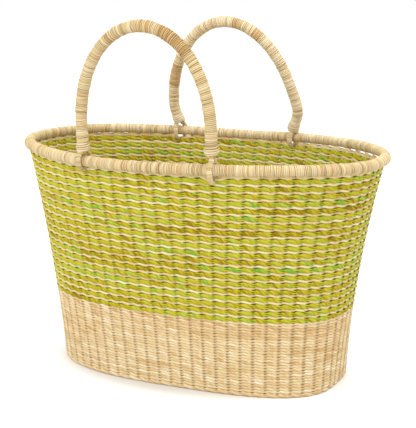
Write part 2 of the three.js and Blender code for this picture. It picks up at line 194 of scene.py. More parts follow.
@dataclass
class Surface:
    """A closed mesh in arrays, with the fibre map and the three masks that every grass finish reads."""

    points: Array
    quads: Array
    grain: Array
    caps: Array
    tone: Array
    crease: Array
    seam: Array

    @staticmethod
    def join(parts: Sequence["Surface"]) -> "Surface":
        """Lays surfaces one after another in a single mesh.

        Args:
            parts: surfaces whose caps have equally many corners.

        Returns:
            One surface with the corner numbers shifted past the points before them.
        """
        starts = np.cumsum([0] + [len(part.points) for part in parts[:-1]])
        return Surface(
            points=np.concatenate([part.points for part in parts]),
            quads=np.concatenate([part.quads + start for part, start in zip(parts, starts)]),
            grain=np.concatenate([part.grain for part in parts]),
            caps=np.concatenate([part.caps + start for part, start in zip(parts, starts)]),
            tone=np.concatenate([part.tone for part in parts]),
            crease=np.concatenate([part.crease for part in parts]),
            seam=np.concatenate([part.seam for part in parts]),
        )

    def to_piece(self, name: str, material: bpy.types.Material) -> bpy.types.Object:
        """Puts the arrays into a Blender mesh at the origin.

        Args:
            name: name of the piece.
            material: its finish.

        Returns:
            The new object, linked to the scene.
        """
        mesh = bpy.data.meshes.new(name)
        corners = np.concatenate([self.quads.ravel(), self.caps.ravel()]).astype(np.int32)
        sides = self.caps.shape[1] if len(self.caps) else 0
        quad_starts = np.arange(len(self.quads)) * 4
        cap_starts = len(self.quads) * 4 + np.arange(len(self.caps)) * sides
        starts = np.concatenate([quad_starts, cap_starts]).astype(np.int32)
        mesh.vertices.add(len(self.points))
        mesh.vertices.foreach_set("co", self.points.astype(np.float32).ravel())
        mesh.loops.add(len(corners))
        mesh.loops.foreach_set("vertex_index", corners)
        mesh.polygons.add(len(starts))
        mesh.polygons.foreach_set("loop_start", starts)
        mesh.polygons.foreach_set("use_smooth", np.ones(len(starts), dtype=bool))
        mesh.update(calc_edges=True)
        grain = np.zeros((len(corners), 2), dtype=np.float32)
        grain[: len(self.quads) * 4] = self.grain.reshape(-1, 2)
        mesh.uv_layers.new(name="grain").data.foreach_set("uv", grain.ravel())
        for label, values in (("tone", self.tone), ("crease", self.crease), ("seam", self.seam)):
            layer = mesh.attributes.new(label, "FLOAT", "POINT")
            layer.data.foreach_set("value", values.astype(np.float32))
        mesh.materials.append(material)
        mesh.validate()
        piece = bpy.data.objects.new(name, mesh)
        bpy.context.scene.collection.objects.link(piece)
        return piece


def swept_strands(
    centres: Array,
    outward: Array,
    half_height: Array,
    half_thickness: Array,
    tone: Array,
    crease: Array,
    closed: bool,
    sides: int,
    edge_shade: float = 0.2,
    twist: float = 0.0,
    hole_shadow_edges: Array | None = None,
) -> Surface:
    """Carries a lens section along many strands at once.

    With the tangent t as the central difference of the centres, the section lies in up = outward x t
    and out = t x up, and its corner at angle a is centre + up h cos(a) + out w sin(a).

    Args:
        centres: strands by stations by xyz.
        outward: the way the broad side of the strand faces, same shape.
        half_height: half of the broad side, strands by stations.
        half_thickness: half of the thin side, strands by stations.
        tone: shade of the grass, strands by stations.
        crease: painted shade, for how hidden the strand is, strands by stations.
        closed: True where each strand is a ring.
        sides: corners of the section.
        edge_shade: painted shade added at the two narrow edges of the section.
        twist: slant of the fibres against the strand, as across per along.
        hole_shadow_edges: painted shadow of the gaps between rows, at the lower edge where positive and the
            upper where negative.

    Returns:
        All strands as one surface, each of them closed.
    """
    count, stations = centres.shape[:2]
    if closed:
        tangent = unit(np.roll(centres, -1, axis=1) - np.roll(centres, 1, axis=1))
    else:
        tangent = unit(np.gradient(centres, axis=1))
    up = unit(np.cross(outward, tangent))
    out = np.cross(tangent, up)
    angle = 2 * np.pi * np.arange(sides) / sides
    rise = (half_height[..., None] * np.cos(angle))[..., None]
    swell = (half_thickness[..., None] * np.sin(angle))[..., None]
    points = centres[:, :, None] + up[:, :, None] * rise + out[:, :, None] * swell

    steps = stations if closed else stations - 1
    first = np.arange(count)[:, None, None] * stations
    here = np.arange(steps)[None, :, None]
    there = (here + 1) % stations
    side = np.arange(sides)[None, None, :]
    beside = (side + 1) % sides
    corner = (
        (first + here) * sides + side,
        (first + here) * sides + beside,
        (first + there) * sides + beside,
        (first + there) * sides + side,
    )
    quads = np.stack(np.broadcast_arrays(*corner), axis=-1).reshape(-1, 4)

    stride = np.linalg.norm(np.roll(centres, -1, axis=1) - centres, axis=-1)
    along = np.concatenate([np.zeros((count, 1)), np.cumsum(stride, axis=1)], axis=1)
    along = along + np.arange(count)[:, None] * GRAIN_SHIFT
    girth = 4 * float(np.mean(half_height))
    across = girth * np.arange(sides + 1) / sides
    u_here = np.broadcast_to(along[:, :steps, None], (count, steps, sides))
    u_there = np.broadcast_to(along[:, 1 : steps + 1, None], (count, steps, sides))
    v_here = np.broadcast_to(across[None, None, :-1], (count, steps, sides))
    v_beside = np.broadcast_to(across[None, None, 1:], (count, steps, sides))
    grain = np.stack(
        [
            np.stack([u_here, v_here - twist * u_here], axis=-1),
            np.stack([u_here, v_beside - twist * u_here], axis=-1),
            np.stack([u_there, v_beside - twist * u_there], axis=-1),
            np.stack([u_there, v_here - twist * u_there], axis=-1),
        ],
        axis=-2,
    ).reshape(-1, 4, 2)

    caps = np.zeros((0, sides), dtype=int)
    if not closed:
        ring = np.arange(sides)
        starts = np.arange(count)[:, None] * stations * sides + ring[::-1]
        ends = (np.arange(count)[:, None] * stations + stations - 1) * sides + ring
        caps = np.concatenate([starts, ends])
    hidden = np.clip(crease[..., None] + edge_shade * np.cos(angle) ** 2, 0, 1)
    seam = np.zeros_like(hidden) if hole_shadow_edges is None else -np.cos(angle) * hole_shadow_edges[..., None]
    return Surface(
        points=points.reshape(-1, 3),
        quads=quads,
        grain=grain,
        caps=caps,
        tone=np.repeat(tone.ravel(), sides),
        crease=hidden.ravel(),
        seam=seam.ravel(),
    )


def swept_strand(*arrays: Array, closed: bool, sides: int, edge_shade: float = 0.2) -> Surface:
    """Carries a lens section along a single strand.

    Args:
        arrays: the first six arguments of swept_strands, without their axis of strands.
        closed: True where the strand is a ring.
        sides: corners of the section.
        edge_shade: painted shade added at the two narrow edges of the section.

    Returns:
        The strand as one closed surface.
    """
    single = (array[None] for array in arrays)
    return swept_strands(*single, closed=closed, sides=sides, edge_shade=edge_shade)


@dataclass(frozen=True)
class Sway:
    """How far the hand-shaped rim and the top row stand above their level, at knots round the oval."""

    degrees: tuple[float, ...] = (0.0, 33.0, 55.0, 92.0, 150.0, 196.0, 262.0, 309.0)
    rim: tuple[float, ...] = (0.0, 1.2, 1.8, 0.1, 3.0, 4.8, -1.0, 1.8)
    rows: tuple[float, ...] = (0.0, -1.0, 0.4, 1.1, 2.7, 4.5, -0.7, 1.4)

    def read(self, heights: Sequence[float], turn: Array) -> Array:
        """Reads one list of heights in millimetres, with cosine steps between its knots.

        Args:
            heights: rim or rows.
            turn: angle parameter of the oval, in radians.

        Returns:
            Heights in metres.
        """
        ends = np.array([*self.degrees, 360.0])
        place = np.interp(np.mod(np.degrees(turn), 360.0), ends, np.arange(len(ends)))
        return cosine_steps(np.array(heights) * MM, place)


SWAY = Sway()


def superellipse(
    half_length: Array, half_depth: Array, squareness: Array, turn: Array
) -> tuple[Array, Array]:
    """Points and normals of |x/a|^n + |y/b|^n = 1.

    x = a sgn(cos t) |cos t|^(2/n) and y = b sgn(sin t) |sin t|^(2/n), and the normal goes as
    (|cos t|^(2-2/n) / a, |sin t|^(2-2/n) / b) with the same signs.

    Args:
        half_length: a.
        half_depth: b.
        squareness: n.
        turn: t in radians.

    Returns:
        Flat points and unit normals.
    """
    c, s = np.cos(turn), np.sin(turn)
    power = 2 / squareness
    points = np.stack(
        [half_length * np.sign(c) * np.abs(c) ** power, half_depth * np.sign(s) * np.abs(s) ** power],
        axis=-1,
    )
    normals = np.stack(
        [
            np.sign(c) * np.abs(c) ** (2 - power) / half_length,
            np.sign(s) * np.abs(s) ** (2 - power) / half_depth,
        ],
        axis=-1,
    )
    return points, unit(normals)


def pulled_in(flat: Array, pull: Array) -> Array:
    """Draws the left end of an oval in: x + pull (x / half length)^4 where x is negative.

    Args:
        flat: points of the oval, x and y.
        pull: how far its left tip moves.

    Returns:
        The moved points.
    """
    share = np.minimum(flat[..., 0], 0) / np.abs(flat[..., 0]).max()
    return np.stack([flat[..., 0] + pull * share**4, flat[..., 1]], axis=-1)


@dataclass(frozen=True)
class OvalWall:
    """The weave's outer face: a superellipse that spreads from the floor to the rim."""

    rim_half_length: float = 206 * MM
    rim_half_depth: float = 123 * MM
    rim_squareness: float = 2.3
    rim_height: float = 247 * MM
    base_half_length: float = 165 * MM
    base_half_depth: float = 87.5 * MM
    base_squareness: float = 2.55
    left_corner: float = -0.15
    right_corner: float = 0.6
    flare: float = 0.54
    left_pull: float = 3.2 * MM
    table_steps: int = 1440
    table_levels: int = 9

    def outline(self, height: Array, turn: Array) -> tuple[Array, Array]:
        """Outline of the wall at a height.

        With s = height / rim height, the half sizes spread by s - flare s (1 - s). The squareness
        goes evenly from base to rim, and corner (1 - s)^3 makes the base's right corners fuller.

        Args:
            height: heights in metres.
            turn: angle parameters, in radians.

        Returns:
            Flat points and unit normals.
        """
        share = height / self.rim_height
        spread = share - self.flare * share * (1 - share)
        corner = np.where(np.cos(turn) < 0, self.left_corner, self.right_corner) * (1 - share) ** 3
        return superellipse(
            self.base_half_length + (self.rim_half_length - self.base_half_length) * spread,
            self.base_half_depth + (self.rim_half_depth - self.base_half_depth) * spread,
            self.base_squareness + (self.rim_squareness - self.base_squareness) * share + corner,
            turn,
        )

    def turn_at(self, share: Array, height: Array) -> Array:
        """Angle parameter of a point that lies at a share of the way round, at its own height.

        The share is one of length, so that the stakes stand evenly at every height. It is read from
        rings at a few levels, and evenly between two of them.

        Args:
            share: 0 to 1 round the oval, anticlockwise from +X.
            height: heights in metres, shaped like share.

        Returns:
            Angles in radians.
        """
        turns = np.linspace(0.0, 2 * np.pi, self.table_steps + 1)
        levels = np.linspace(0.0, self.rim_height, self.table_levels)[:, None] + np.zeros_like(turns)
        rings, _ = self.outline(levels, turns[None, :])
        reach = np.cumsum(np.linalg.norm(np.diff(rings, axis=1), axis=-1), axis=1)
        reach = np.concatenate([np.zeros((self.table_levels, 1)), reach], axis=1) / reach[:, -1:]
        part = np.mod(share, 1.0)
        read = np.stack([np.interp(part, ring, turns) for ring in reach])
        place = np.clip(height / self.rim_height, 0.0, 1.0) * (self.table_levels - 1)
        low = np.minimum(place.astype(int), self.table_levels - 2)
        below = np.take_along_axis(read, low[None], axis=0)[0]
        above = np.take_along_axis(read, low[None] + 1, axis=0)[0]
        return below + (above - below) * (place - low)

    def point(self, share: Array, height: Array, offset: Array) -> tuple[Array, Array]:
        """A point of the wall, moved outwards by an offset. The sway fades as s^2 towards the floor.

        Args:
            share: 0 to 1 round the oval.
            height: height in metres.
            offset: distance outside the outer face, in metres.

        Returns:
            The points and the level outward normals there.
        """
        share, height, offset = np.broadcast_arrays(share, height, offset)
        turn = self.turn_at(share, height)
        flat, normal = self.outline(height, turn)
        rise = (height / self.rim_height) ** 2
        flat = pulled_in(flat, self.left_pull * rise)
        level = np.concatenate([normal, np.zeros(normal.shape[:-1] + (1,))], axis=-1)
        lifted = height + SWAY.read(SWAY.rows, turn) * rise
        spot = np.concatenate([flat, lifted[..., None]], axis=-1)
        return spot + level * offset[..., None], level


@dataclass(frozen=True)
class Twining:
    """How two strands twist round the stakes: half a turn from one stake to the next."""

    stakes: int = 64
    steps: int = 8
    sides: int = 6
    swing: float = 0.62 * MM
    climb: float = 1.25 * MM
    flat_height: float = 1.86 * MM
    flat_thickness: float = 0.92 * MM
    pinch_height: float = 1.19 * MM
    pinch_thickness: float = 1.35 * MM
    lap: float = 0.45
    size_spread: float = 0.08
    wander: float = 0.2 * MM
    wander_knots: int = 24
    # Painted shade where a strand turns behind a stake, and along the narrow edges of its section.
    fold_shade: float = 0.05
    edge_shade: float = 0.22
    shortest_run: int = 3
    longest_run: int = 12
    hug: float = 0.8
    # Painted shadow in the small gaps between rows, and its share at the lower edge.
    hole_shadow: float = 1.4
    low_hole_shadow: float = 0.85
    slant: float = 0.42

    @property
    def stations(self) -> int:
        """Stations round a ring."""
        return self.stakes * self.steps

    def shares(self) -> Array:
        """Place of each station, 0 to 1 round the ring."""
        return np.arange(self.stations) / self.stations

    def phase(self, strands: int) -> Array:
        """Twist angle of each strand at each station: 0 outside a stake, pi inside it.

        Args:
            strands: number of strands, in pairs.

        Returns:
            Angles, strands by stations. The second strand of a pair is half a turn behind.
        """
        angle = np.pi * (self.shares() * self.stakes - 0.5)
        return angle[None, :] + np.pi * (np.arange(strands) % 2)[:, None]

    def depth(self, phase: Array) -> Array:
        """Depth of a strand, with a lap where two cross: swing tanh(hug cos(p + lap)) / tanh(hug)."""
        return self.swing * np.tanh(self.hug * np.cos(phase + self.lap)) / math.tanh(self.hug)

    def half_height(self, phase: Array) -> Array:
        """Broad half size, from the pinch between two stakes to the flat over one."""
        return self.pinch_height + (self.flat_height - self.pinch_height) * np.abs(np.cos(phase))

    def half_thickness(self, phase: Array) -> Array:
        """Thin half size, thickest at the pinch."""
        return self.pinch_thickness + (self.flat_thickness - self.pinch_thickness) * np.cos(phase) ** 2

    def hole_shadows(self, phase: Array) -> Array:
        """Mask of painted shadow in the small gaps between two rows: hole sin(p) |sin p|^10, weaker at the
        lower edge.
        """
        weight = np.where(np.sin(phase) > 0, self.low_hole_shadow, 1.0)
        return self.hole_shadow * weight * np.sin(phase) * np.abs(np.sin(phase)) ** 10

    def stitch_tone(self, strands: int, rng: np.random.Generator) -> Array:
        """Shade of each station: one value for each stitch, which changes where the strand is hidden."""
        runs = [run_values(self.stakes, self.shortest_run, self.longest_run, rng) for _ in range(strands)]
        return np.repeat(np.stack(runs), self.steps, axis=1)

    def stitch_size(self, strands: int, rng: np.random.Generator) -> Array:
        """Size factor of each station, a little different from stitch to stitch.

        Args:
            strands: number of strands.
            rng: seeded source.

        Returns:
            Factors round 1, strands by stations.
        """
        place = self.shares() * self.stakes
        noise = np.stack([smooth_noise(place, self.stakes, rng) for _ in range(strands)])
        return 1 + self.size_spread * noise


@dataclass(frozen=True)
class EyePlaces:
    """Where the handles' eyes pass through the open row, and how far they press the rows down."""

    shares: tuple[float, ...]
    depths: tuple[float, ...]
    top: float
    reach: float = 9 * MM
    fade: float = 4.6 * MM
    perimeter: float = 1.06

    @staticmethod
    def on(wall: OvalWall, feet: Sequence[Array], depths: Sequence[float], top: float) -> "EyePlaces":
        """Finds the share of the way round that lies nearest to each foot.

        Args:
            wall: the weave's outer face.
            feet: foot points on the rim's centreline.
            depths: how far each eye presses the top row down.
            top: height of the top row's upper edge.

        Returns:
            The places.
        """
        shares = np.arange(SEARCH_STEPS) / SEARCH_STEPS
        ring, _ = wall.point(shares, np.full_like(shares, top), np.full_like(shares, SEARCH_DEPTH))
        flat = np.stack([np.asarray(foot)[:2] for foot in feet])
        nearest = np.argmin(np.linalg.norm(ring[None, :, :2] - flat[:, None], axis=-1), axis=1)
        return EyePlaces(tuple(float(shares[i]) for i in nearest), tuple(depths), top)

    def dip(self, share: Array, height: Array) -> Array:
        """How far a row is pressed down: depth exp(-(d/reach)^2) exp(-(top - z)/fade).

        Args:
            share: places round the wall.
            height: heights of the rows there.

        Returns:
            Distances in metres.
        """
        total = np.zeros(np.broadcast(share, height).shape)
        for eye, depth in zip(self.shares, self.depths):
            away = (np.mod(share - eye + 0.5, 1.0) - 0.5) * self.perimeter
            total = total + depth * np.exp(-((away / self.reach) ** 2))
        return total * np.exp(-np.maximum(self.top - height, 0.0) / self.fade)

    def aside(self, share: Array, room: float) -> Array:
        """Moves stakes out of an eye's way.

        Args:
            share: places of the stakes.
            room: least distance to the middle of an eye, in metres.

        Returns:
            Their places at the rim.
        """
        moved = share.copy()
        for eye in self.shares:
            away = (np.mod(moved - eye + 0.5, 1.0) - 0.5) * self.perimeter
            near = np.abs(away) < room
            moved[near] = eye + np.where(away[near] < 0, -room, room) / self.perimeter
        return moved


@dataclass
class TwinedRows:
    """Rows of twining on the wall, named piece by piece."""

    wall: OvalWall
    twining: Twining
    middle_depth: float = -1.65 * MM
    eyes: EyePlaces | None = None

    def rows(self, heights: Array, thickness: Array, seed: int, sunk: float = 0.0) -> Surface:
        """Makes one pair of strands at each height.

        A strand lies at depth middle + depth(p) and at height z - climb sin(p), so that its outer
        stitches run down to the right.

        Args:
            heights: middle height of each row.
            thickness: size factor of each row's strands.
            seed: seed of this group of rows.
            sunk: how much deeper than the others these rows lie.

        Returns:
            The rows as one surface.
        """
        rng = seeded(seed)
        twining = self.twining
        strands = 2 * len(heights)
        phase = twining.phase(strands)
        share = np.broadcast_to(twining.shares(), phase.shape)
        size = twining.stitch_size(strands, rng) * np.repeat(thickness, 2)[:, None]
        knots = twining.wander_knots
        rises = np.stack([smooth_noise(twining.shares() * knots, knots, rng) for _ in heights])
        level = np.repeat(heights[:, None] + twining.wander * rises, 2, axis=0)
        if self.eyes is not None:
            level = level - self.eyes.dip(share, level)
        level = level - twining.climb * np.repeat(thickness, 2)[:, None] * np.sin(phase)
        offset = self.middle_depth - sunk + twining.depth(phase)
        centres, outward = self.wall.point(share, level, offset)
        # The strands carry painted shade where they turn behind a stake and along their edges, and painted
        # shadow in the gaps between rows.
        return swept_strands(
            centres,
            outward,
            twining.half_height(phase) * size,
            twining.half_thickness(phase) * size,
            twining.stitch_tone(strands, rng),
            twining.fold_shade * np.sin(phase) ** 4,
            closed=True,
            sides=twining.sides,
            edge_shade=twining.edge_shade,
            twist=twining.slant,
            hole_shadow_edges=twining.hole_shadows(phase),
        )


@dataclass
class FlatPath:
    """A smooth path in one plane, read by its length, with two directions square to it."""

    points: Array
    across: Array
    closed: bool = False

    def __post_init__(self) -> None:
        """Measures the path once."""
        if self.closed:
            self.points = np.concatenate([self.points, self.points[:1]])
        stride = np.linalg.norm(np.diff(self.points, axis=0), axis=1)
        self.reach = np.concatenate([[0.0], np.cumsum(stride)])
        tangents = np.gradient(self.points, self.reach, axis=0)
        if self.closed:
            tangents[0] = tangents[-1] = tangents[0] + tangents[-1]
        self.tangents = unit(tangents)

    @property
    def length(self) -> float:
        """Length of the path in metres."""
        return float(self.reach[-1])

    def read(self, distance: Array) -> tuple[Array, Array, Array]:
        """Points and cross directions at distances along the path.

        Args:
            distance: metres from the start. A closed path goes round again.

        Returns:
            Points, the unit vectors across x tangent, and the unit vectors across.
        """
        place = np.mod(distance, self.length) if self.closed else distance
        spot, way = (
            np.stack([np.interp(place, self.reach, table[:, axis]) for axis in range(3)], axis=-1)
            for table in (self.points, self.tangents)
        )
        normal = unit(np.cross(self.across, unit(way)))
        return spot, normal, np.broadcast_to(self.across, spot.shape)


@dataclass(frozen=True)
class Section:
    """Section of a roll: an ellipse given in shares of the roll's radius."""

    long: float = 1.0
    short: float = 1.0
    tilt: float = 0.0

    def spread(self, normal: Array, across: Array) -> tuple[Array, Array]:
        """Long and short axis, the long one tilted from the normal towards across."""
        c, s = math.cos(self.tilt), math.sin(self.tilt)
        return normal * c + across * s, across * c - normal * s

    def around(self, angle: Array, normal: Array, across: Array) -> tuple[Array, Array]:
        """A point long cos(a) e1 + short sin(a) e2 of the outline, and the outward normal there.

        Args:
            angle: a at each station.
            normal: direction square to the path in its plane.
            across: direction square to the plane.

        Returns:
            Offsets for a radius of 1, and unit normals.
        """
        first, second = self.spread(normal, across)
        c, s = np.cos(angle)[:, None], np.sin(angle)[:, None]
        offset = first * self.long * c + second * self.short * s
        return offset, unit(first * c / self.long + second * s / self.short)


@dataclass(frozen=True)
class Winding:
    """A flat blade wound round a path, turn against turn."""

    pitch: float = 1.8 * MM
    half_width: float = 0.96 * MM
    half_thickness: float = 0.56 * MM
    steps: int = 14
    sides: int = 6
    jitter: float = 0.18
    lift: float = 0.26 * MM
    shortest_run: int = 7
    longest_run: int = 20
    contrast: float = 0.25
    tone_spread: float = 0.13
    width_spread: float = 0.2
    tan_shade: float = 0.3
    dark_turn_share: float = 0.09
    dark_turn_shade: tuple[float, float] = (0.15, 0.45)
    # Painted shade along the blade's edges, where one turn meets the next.
    edge_shade: float = 0.6
    section: Section = Section()

    def wind(
        self,
        path: FlatPath,
        start: float,
        end: float,
        radius: Callable[[Array], Array],
        seed: int,
        tan_runs: Sequence[tuple[float, float]] = (),
    ) -> Surface:
        """Winds one blade from start to end.

        At turn t the blade lies at angle 2 pi t and at distance start + pitch t, each turn a little
        early or late, wide or narrow, high or low.

        Args:
            path: what it is wound along.
            start: first distance.
            end: last distance.
            radius: outer radius at a distance.
            seed: seed of this winding.
            tan_runs: stretches of darker blade, as shares of the whole path.

        Returns:
            The blade as one closed surface.
        """
        rng = seeded(seed)
        turns = max(int(round((end - start) / self.pitch)), 2)
        t = np.arange(turns * self.steps + 1) / self.steps
        shift = smooth_noise(t, turns + 3, rng) * self.jitter * self.pitch
        ease = np.clip(np.minimum(t, turns - t), 0, 1)
        distance = start + (end - start) * t / turns + shift * ease
        spot, normal, across = path.read(distance)
        height = smooth_noise(t + 0.5, turns + 4, rng) * self.lift
        tuck = 1 - 0.5 * (1 - np.clip(np.minimum(t, turns - t) * 3, 0, 1)) ** 2
        reach = (radius(distance) - self.half_thickness + height) * (0.9 + 0.1 * tuck)
        offset, out = self.section.around(2 * np.pi * t, normal, across)
        centres = spot + offset * reach[:, None]
        spread = self.width_spread * smooth_noise(t * 0.7, turns + 3, rng)
        width = self.half_width * (1 + spread) * tuck
        turn = np.floor(t).astype(int)
        tones = run_values(turns + 1, self.shortest_run, self.longest_run, rng)
        tones = 0.5 + self.contrast * (tones - 0.5) + rng.normal(0.0, self.tone_spread, turns + 1)
        tone = tones[turn]
        share = distance / path.length
        for low, high in tan_runs:
            tone = np.where((share > low) & (share < high), self.tan_shade * tone, tone)
        # A share of the turns, at random, gets painted shade over its whole width, which reads as a dark
        # line between turns.
        is_dark_turn = rng.random(turns + 1) < self.dark_turn_share
        dark_turns = np.where(is_dark_turn, rng.uniform(*self.dark_turn_shade, turns + 1), 0.0)
        return swept_strand(
            centres,
            out,
            width,
            self.half_thickness * tuck,
            tone,
            dark_turns[turn],
            closed=False,
            sides=self.sides,
            edge_shade=self.edge_shade,
        )


def rod(
    path: FlatPath,
    start: float,
    end: float,
    radius: float,
    stations: int,
    sides: int,
    section: Section = Section(),
) -> Surface:
    """A round bundle along a path, rounded off at both ends: r sqrt(1 - (1 - d/r)^2) at d from an end.

    Args:
        path: what it follows.
        start: first distance.
        end: last distance.
        radius: radius of the bundle.
        stations: sections along it.
        sides: corners of a section.
        section: shape of its section.

    Returns:
        One closed surface, with a dark tone and painted shade, as it lies under a winding.
    """
    ends = np.linspace(0, 1, 5) ** 2 * radius
    middle = np.linspace(start + radius, end - radius, stations)
    distance = np.concatenate([start + ends[:-1], middle, end - ends[-2::-1]])
    from_end = np.clip(np.minimum(distance - start, end - distance) / radius, 0.02, 1)
    size = radius * np.sqrt(1 - (1 - from_end) ** 2)
    spot, normal, across = path.read(distance)
    out, _ = section.spread(normal, across)
    tone = np.full(len(distance), 0.25)
    # Painted shade: the bundle lies under a winding.
    crease = np.full(len(distance), 0.65)
    return swept_strand(
        spot, out, section.short * size, section.long * size, tone, crease, closed=False, sides=sides
    )


def add_node(
    tree: bpy.types.NodeTree, kind: str, inputs: dict[str | int, Any] | None = None, **settings: Any
) -> bpy.types.Node:
    """Adds a shader node, sets it up and fills its inputs.

    Args:
        tree: node tree that it is built in.
        kind: type of the node, without the word ShaderNode.
        inputs: by name or number, either a value or the socket that is linked to it.
        settings: properties of the node, such as its operation.

    Returns:
        The new node.
    """
    node = tree.nodes.new(f"ShaderNode{kind}")
    for name, setting in settings.items():
        setattr(node, name, setting)
    for key, value in (inputs or {}).items():
        if isinstance(value, bpy.types.NodeSocket):
            tree.links.new(value, node.inputs[key])
        else:
            node.inputs[key].default_value = value
    return node


def new_group(
    name: str, inputs: dict[str, float], outputs: Sequence[str]
) -> tuple[bpy.types.NodeTree, bpy.types.Node, bpy.types.Node]:
    """Starts a node group whose sockets are all single numbers.

    Args:
        name: name of the group.
        inputs: defaults of its inputs, by name.
        outputs: names of its outputs.

    Returns:
        The group, and its input and output nodes.
    """
    tree = bpy.data.node_groups.new(name, "ShaderNodeTree")
    for label, default in inputs.items():
        socket = tree.interface.new_socket(label, in_out="INPUT", socket_type="NodeSocketFloat")
        socket.default_value = default
    for label in outputs:
        tree.interface.new_socket(label, in_out="OUTPUT", socket_type="NodeSocketFloat")
    return tree, tree.nodes.new("NodeGroupInput"), tree.nodes.new("NodeGroupOutput")


def new_material(name: str) -> tuple[bpy.types.Material, bpy.types.NodeTree, bpy.types.NodeInputs]:
    """Starts a material.

    Args:
        name: name of the material.

    Returns:
        The material, its node tree, and the inputs of its shader.
    """
    material = bpy.data.materials.new(name)
    material.use_nodes = True
    tree = material.node_tree
    return material, tree, tree.nodes["Principled BSDF"].inputs


def spread_mask(
    tree: bpy.types.NodeTree, mask: bpy.types.NodeSocket, low: float, high: float, **settings: Any
) -> bpy.types.NodeSocket:
    """Spreads the part of a mask from low to high over 0 to 1.

    Args:
        tree: node tree that it is built in.
        mask: the mask.
        low: what becomes 0.
        high: what becomes 1.
        settings: properties of the node.

    Returns:
        The new mask.
    """
    inputs = {"Value": mask, "From Min": low, "From Max": high}
    return add_node(tree, "MapRange", inputs, **settings).outputs["Result"]


def add_scaled(
    tree: bpy.types.NodeTree, base: bpy.types.NodeSocket, mask: bpy.types.NodeSocket, mix: float
) -> bpy.types.NodeSocket:
    """Works out base + mix (mask - 0.5).

    Args:
        tree: node tree that it is built in.
        base: value that is changed.
        mask: mask of 0 to 1.
        mix: how far the mask changes it.

    Returns:
        The socket of the sum.
    """
    centred = add_node(tree, "Math", {0: mask, 1: 0.5}, operation="SUBTRACT")
    inputs = {0: centred.outputs[0], 1: mix, 2: base}
    return add_node(tree, "Math", inputs, operation="MULTIPLY_ADD").outputs[0]


def blend(
    tree: bpy.types.NodeTree,
    mask: bpy.types.NodeSocket,
    mix: float,
    first: bpy.types.NodeSocket,
    second: Colour,
) -> bpy.types.NodeSocket:
    """Carries a colour towards another by mix times the mask.

    Args:
        tree: node tree that it is built in.
        mask: mask of 0 to 1.
        mix: how far the colour is carried where the mask is 1.
        first: colour where the mask is 0.
        second: colour that it is carried to.

    Returns:
        The socket of the colour.
    """
    share = add_node(tree, "Math", {0: mask, 1: mix}, operation="MULTIPLY", use_clamp=True)
    inputs = {"Factor": share.outputs[0], "A": first, "B": (*second, 1.0)}
    return add_node(tree, "Mix", inputs, data_type="RGBA").outputs["Result"]


def fibre_group() -> bpy.types.NodeTree:
    """Node group of grass fibre, built once: fine streaks and broader blades along the fibre map.

    Returns:
        The group. Streak and Blade are masks of 0 to 1, Height is for a bump, and Fleck is a mask of
        the small brown specks of dried grass.
    """
    name = "grass_fibre"
    if name in bpy.data.node_groups:
        return bpy.data.node_groups[name]
    scales = {"Streak Scale": 2600.0, "Blade Scale": 620.0, "Fleck Scale": 420.0}
    tree, inputs, outputs = new_group(name, scales, ("Streak", "Blade", "Fleck", "Height"))
    split = add_node(tree, "SeparateXYZ", {"Vector": add_node(tree, "UVMap", uv_map="grain").outputs["UV"]})

    def stretched(label: str, along: float, detail: float) -> bpy.types.NodeSocket:
        """Noise drawn out along the grass, read at (along u, scale v).

        Args:
            label: name of the input that holds the scale.
            along: waves for a metre of grass.
            detail: fineness of the noise.

        Returns:
            A mask of 0 to 1.
        """
        scale = inputs.outputs[label]
        lengthwise = add_node(tree, "Math", {0: split.outputs["X"], 1: along}, operation="MULTIPLY")
        crosswise = add_node(tree, "Math", {0: split.outputs["Y"], 1: scale}, operation="MULTIPLY")
        joined = add_node(tree, "CombineXYZ", {"X": lengthwise.outputs[0], "Y": crosswise.outputs[0]})
        noise = add_node(tree, "TexNoise", {"Vector": joined.outputs[0], "Scale": 1.0, "Detail": detail})
        return noise.outputs["Fac"]

    streak = stretched("Streak Scale", along=55.0, detail=3.0)
    blade = spread_mask(tree, stretched("Blade Scale", along=42.0, detail=1.0), 0.3, 0.7)
    fleck = spread_mask(tree, stretched("Fleck Scale", along=150.0, detail=2.0), 0.66, 0.76)
    height = add_node(tree, "Math", {0: streak, 1: 0.5, 2: blade}, operation="MULTIPLY_ADD")
    masks = {"Streak": streak, "Blade": blade, "Fleck": fleck, "Height": height.outputs[0]}
    for label, value in masks.items():
        tree.links.new(value, outputs.inputs[label])
    return tree


def patch_group() -> bpy.types.NodeTree:
    """Node group of slow changes over the whole basket, built once, on Object coordinates.

    Returns:
        The group. Patch is a mask of 0 to 1 that is near 0.5 over most of the surface.
    """
    name = "slow_patches"
    if name in bpy.data.node_groups:
        return bpy.data.node_groups[name]
    tree, inputs, outputs = new_group(name, {"Scale": 22.0}, ("Patch",))
    place = add_node(tree, "TexCoord")
    settings = {"Vector": place.outputs["Object"], "Scale": inputs.outputs["Scale"], "Detail": 3.0}
    noise = add_node(tree, "TexNoise", settings)
    tree.links.new(noise.outputs["Fac"], outputs.inputs["Patch"])
    return tree


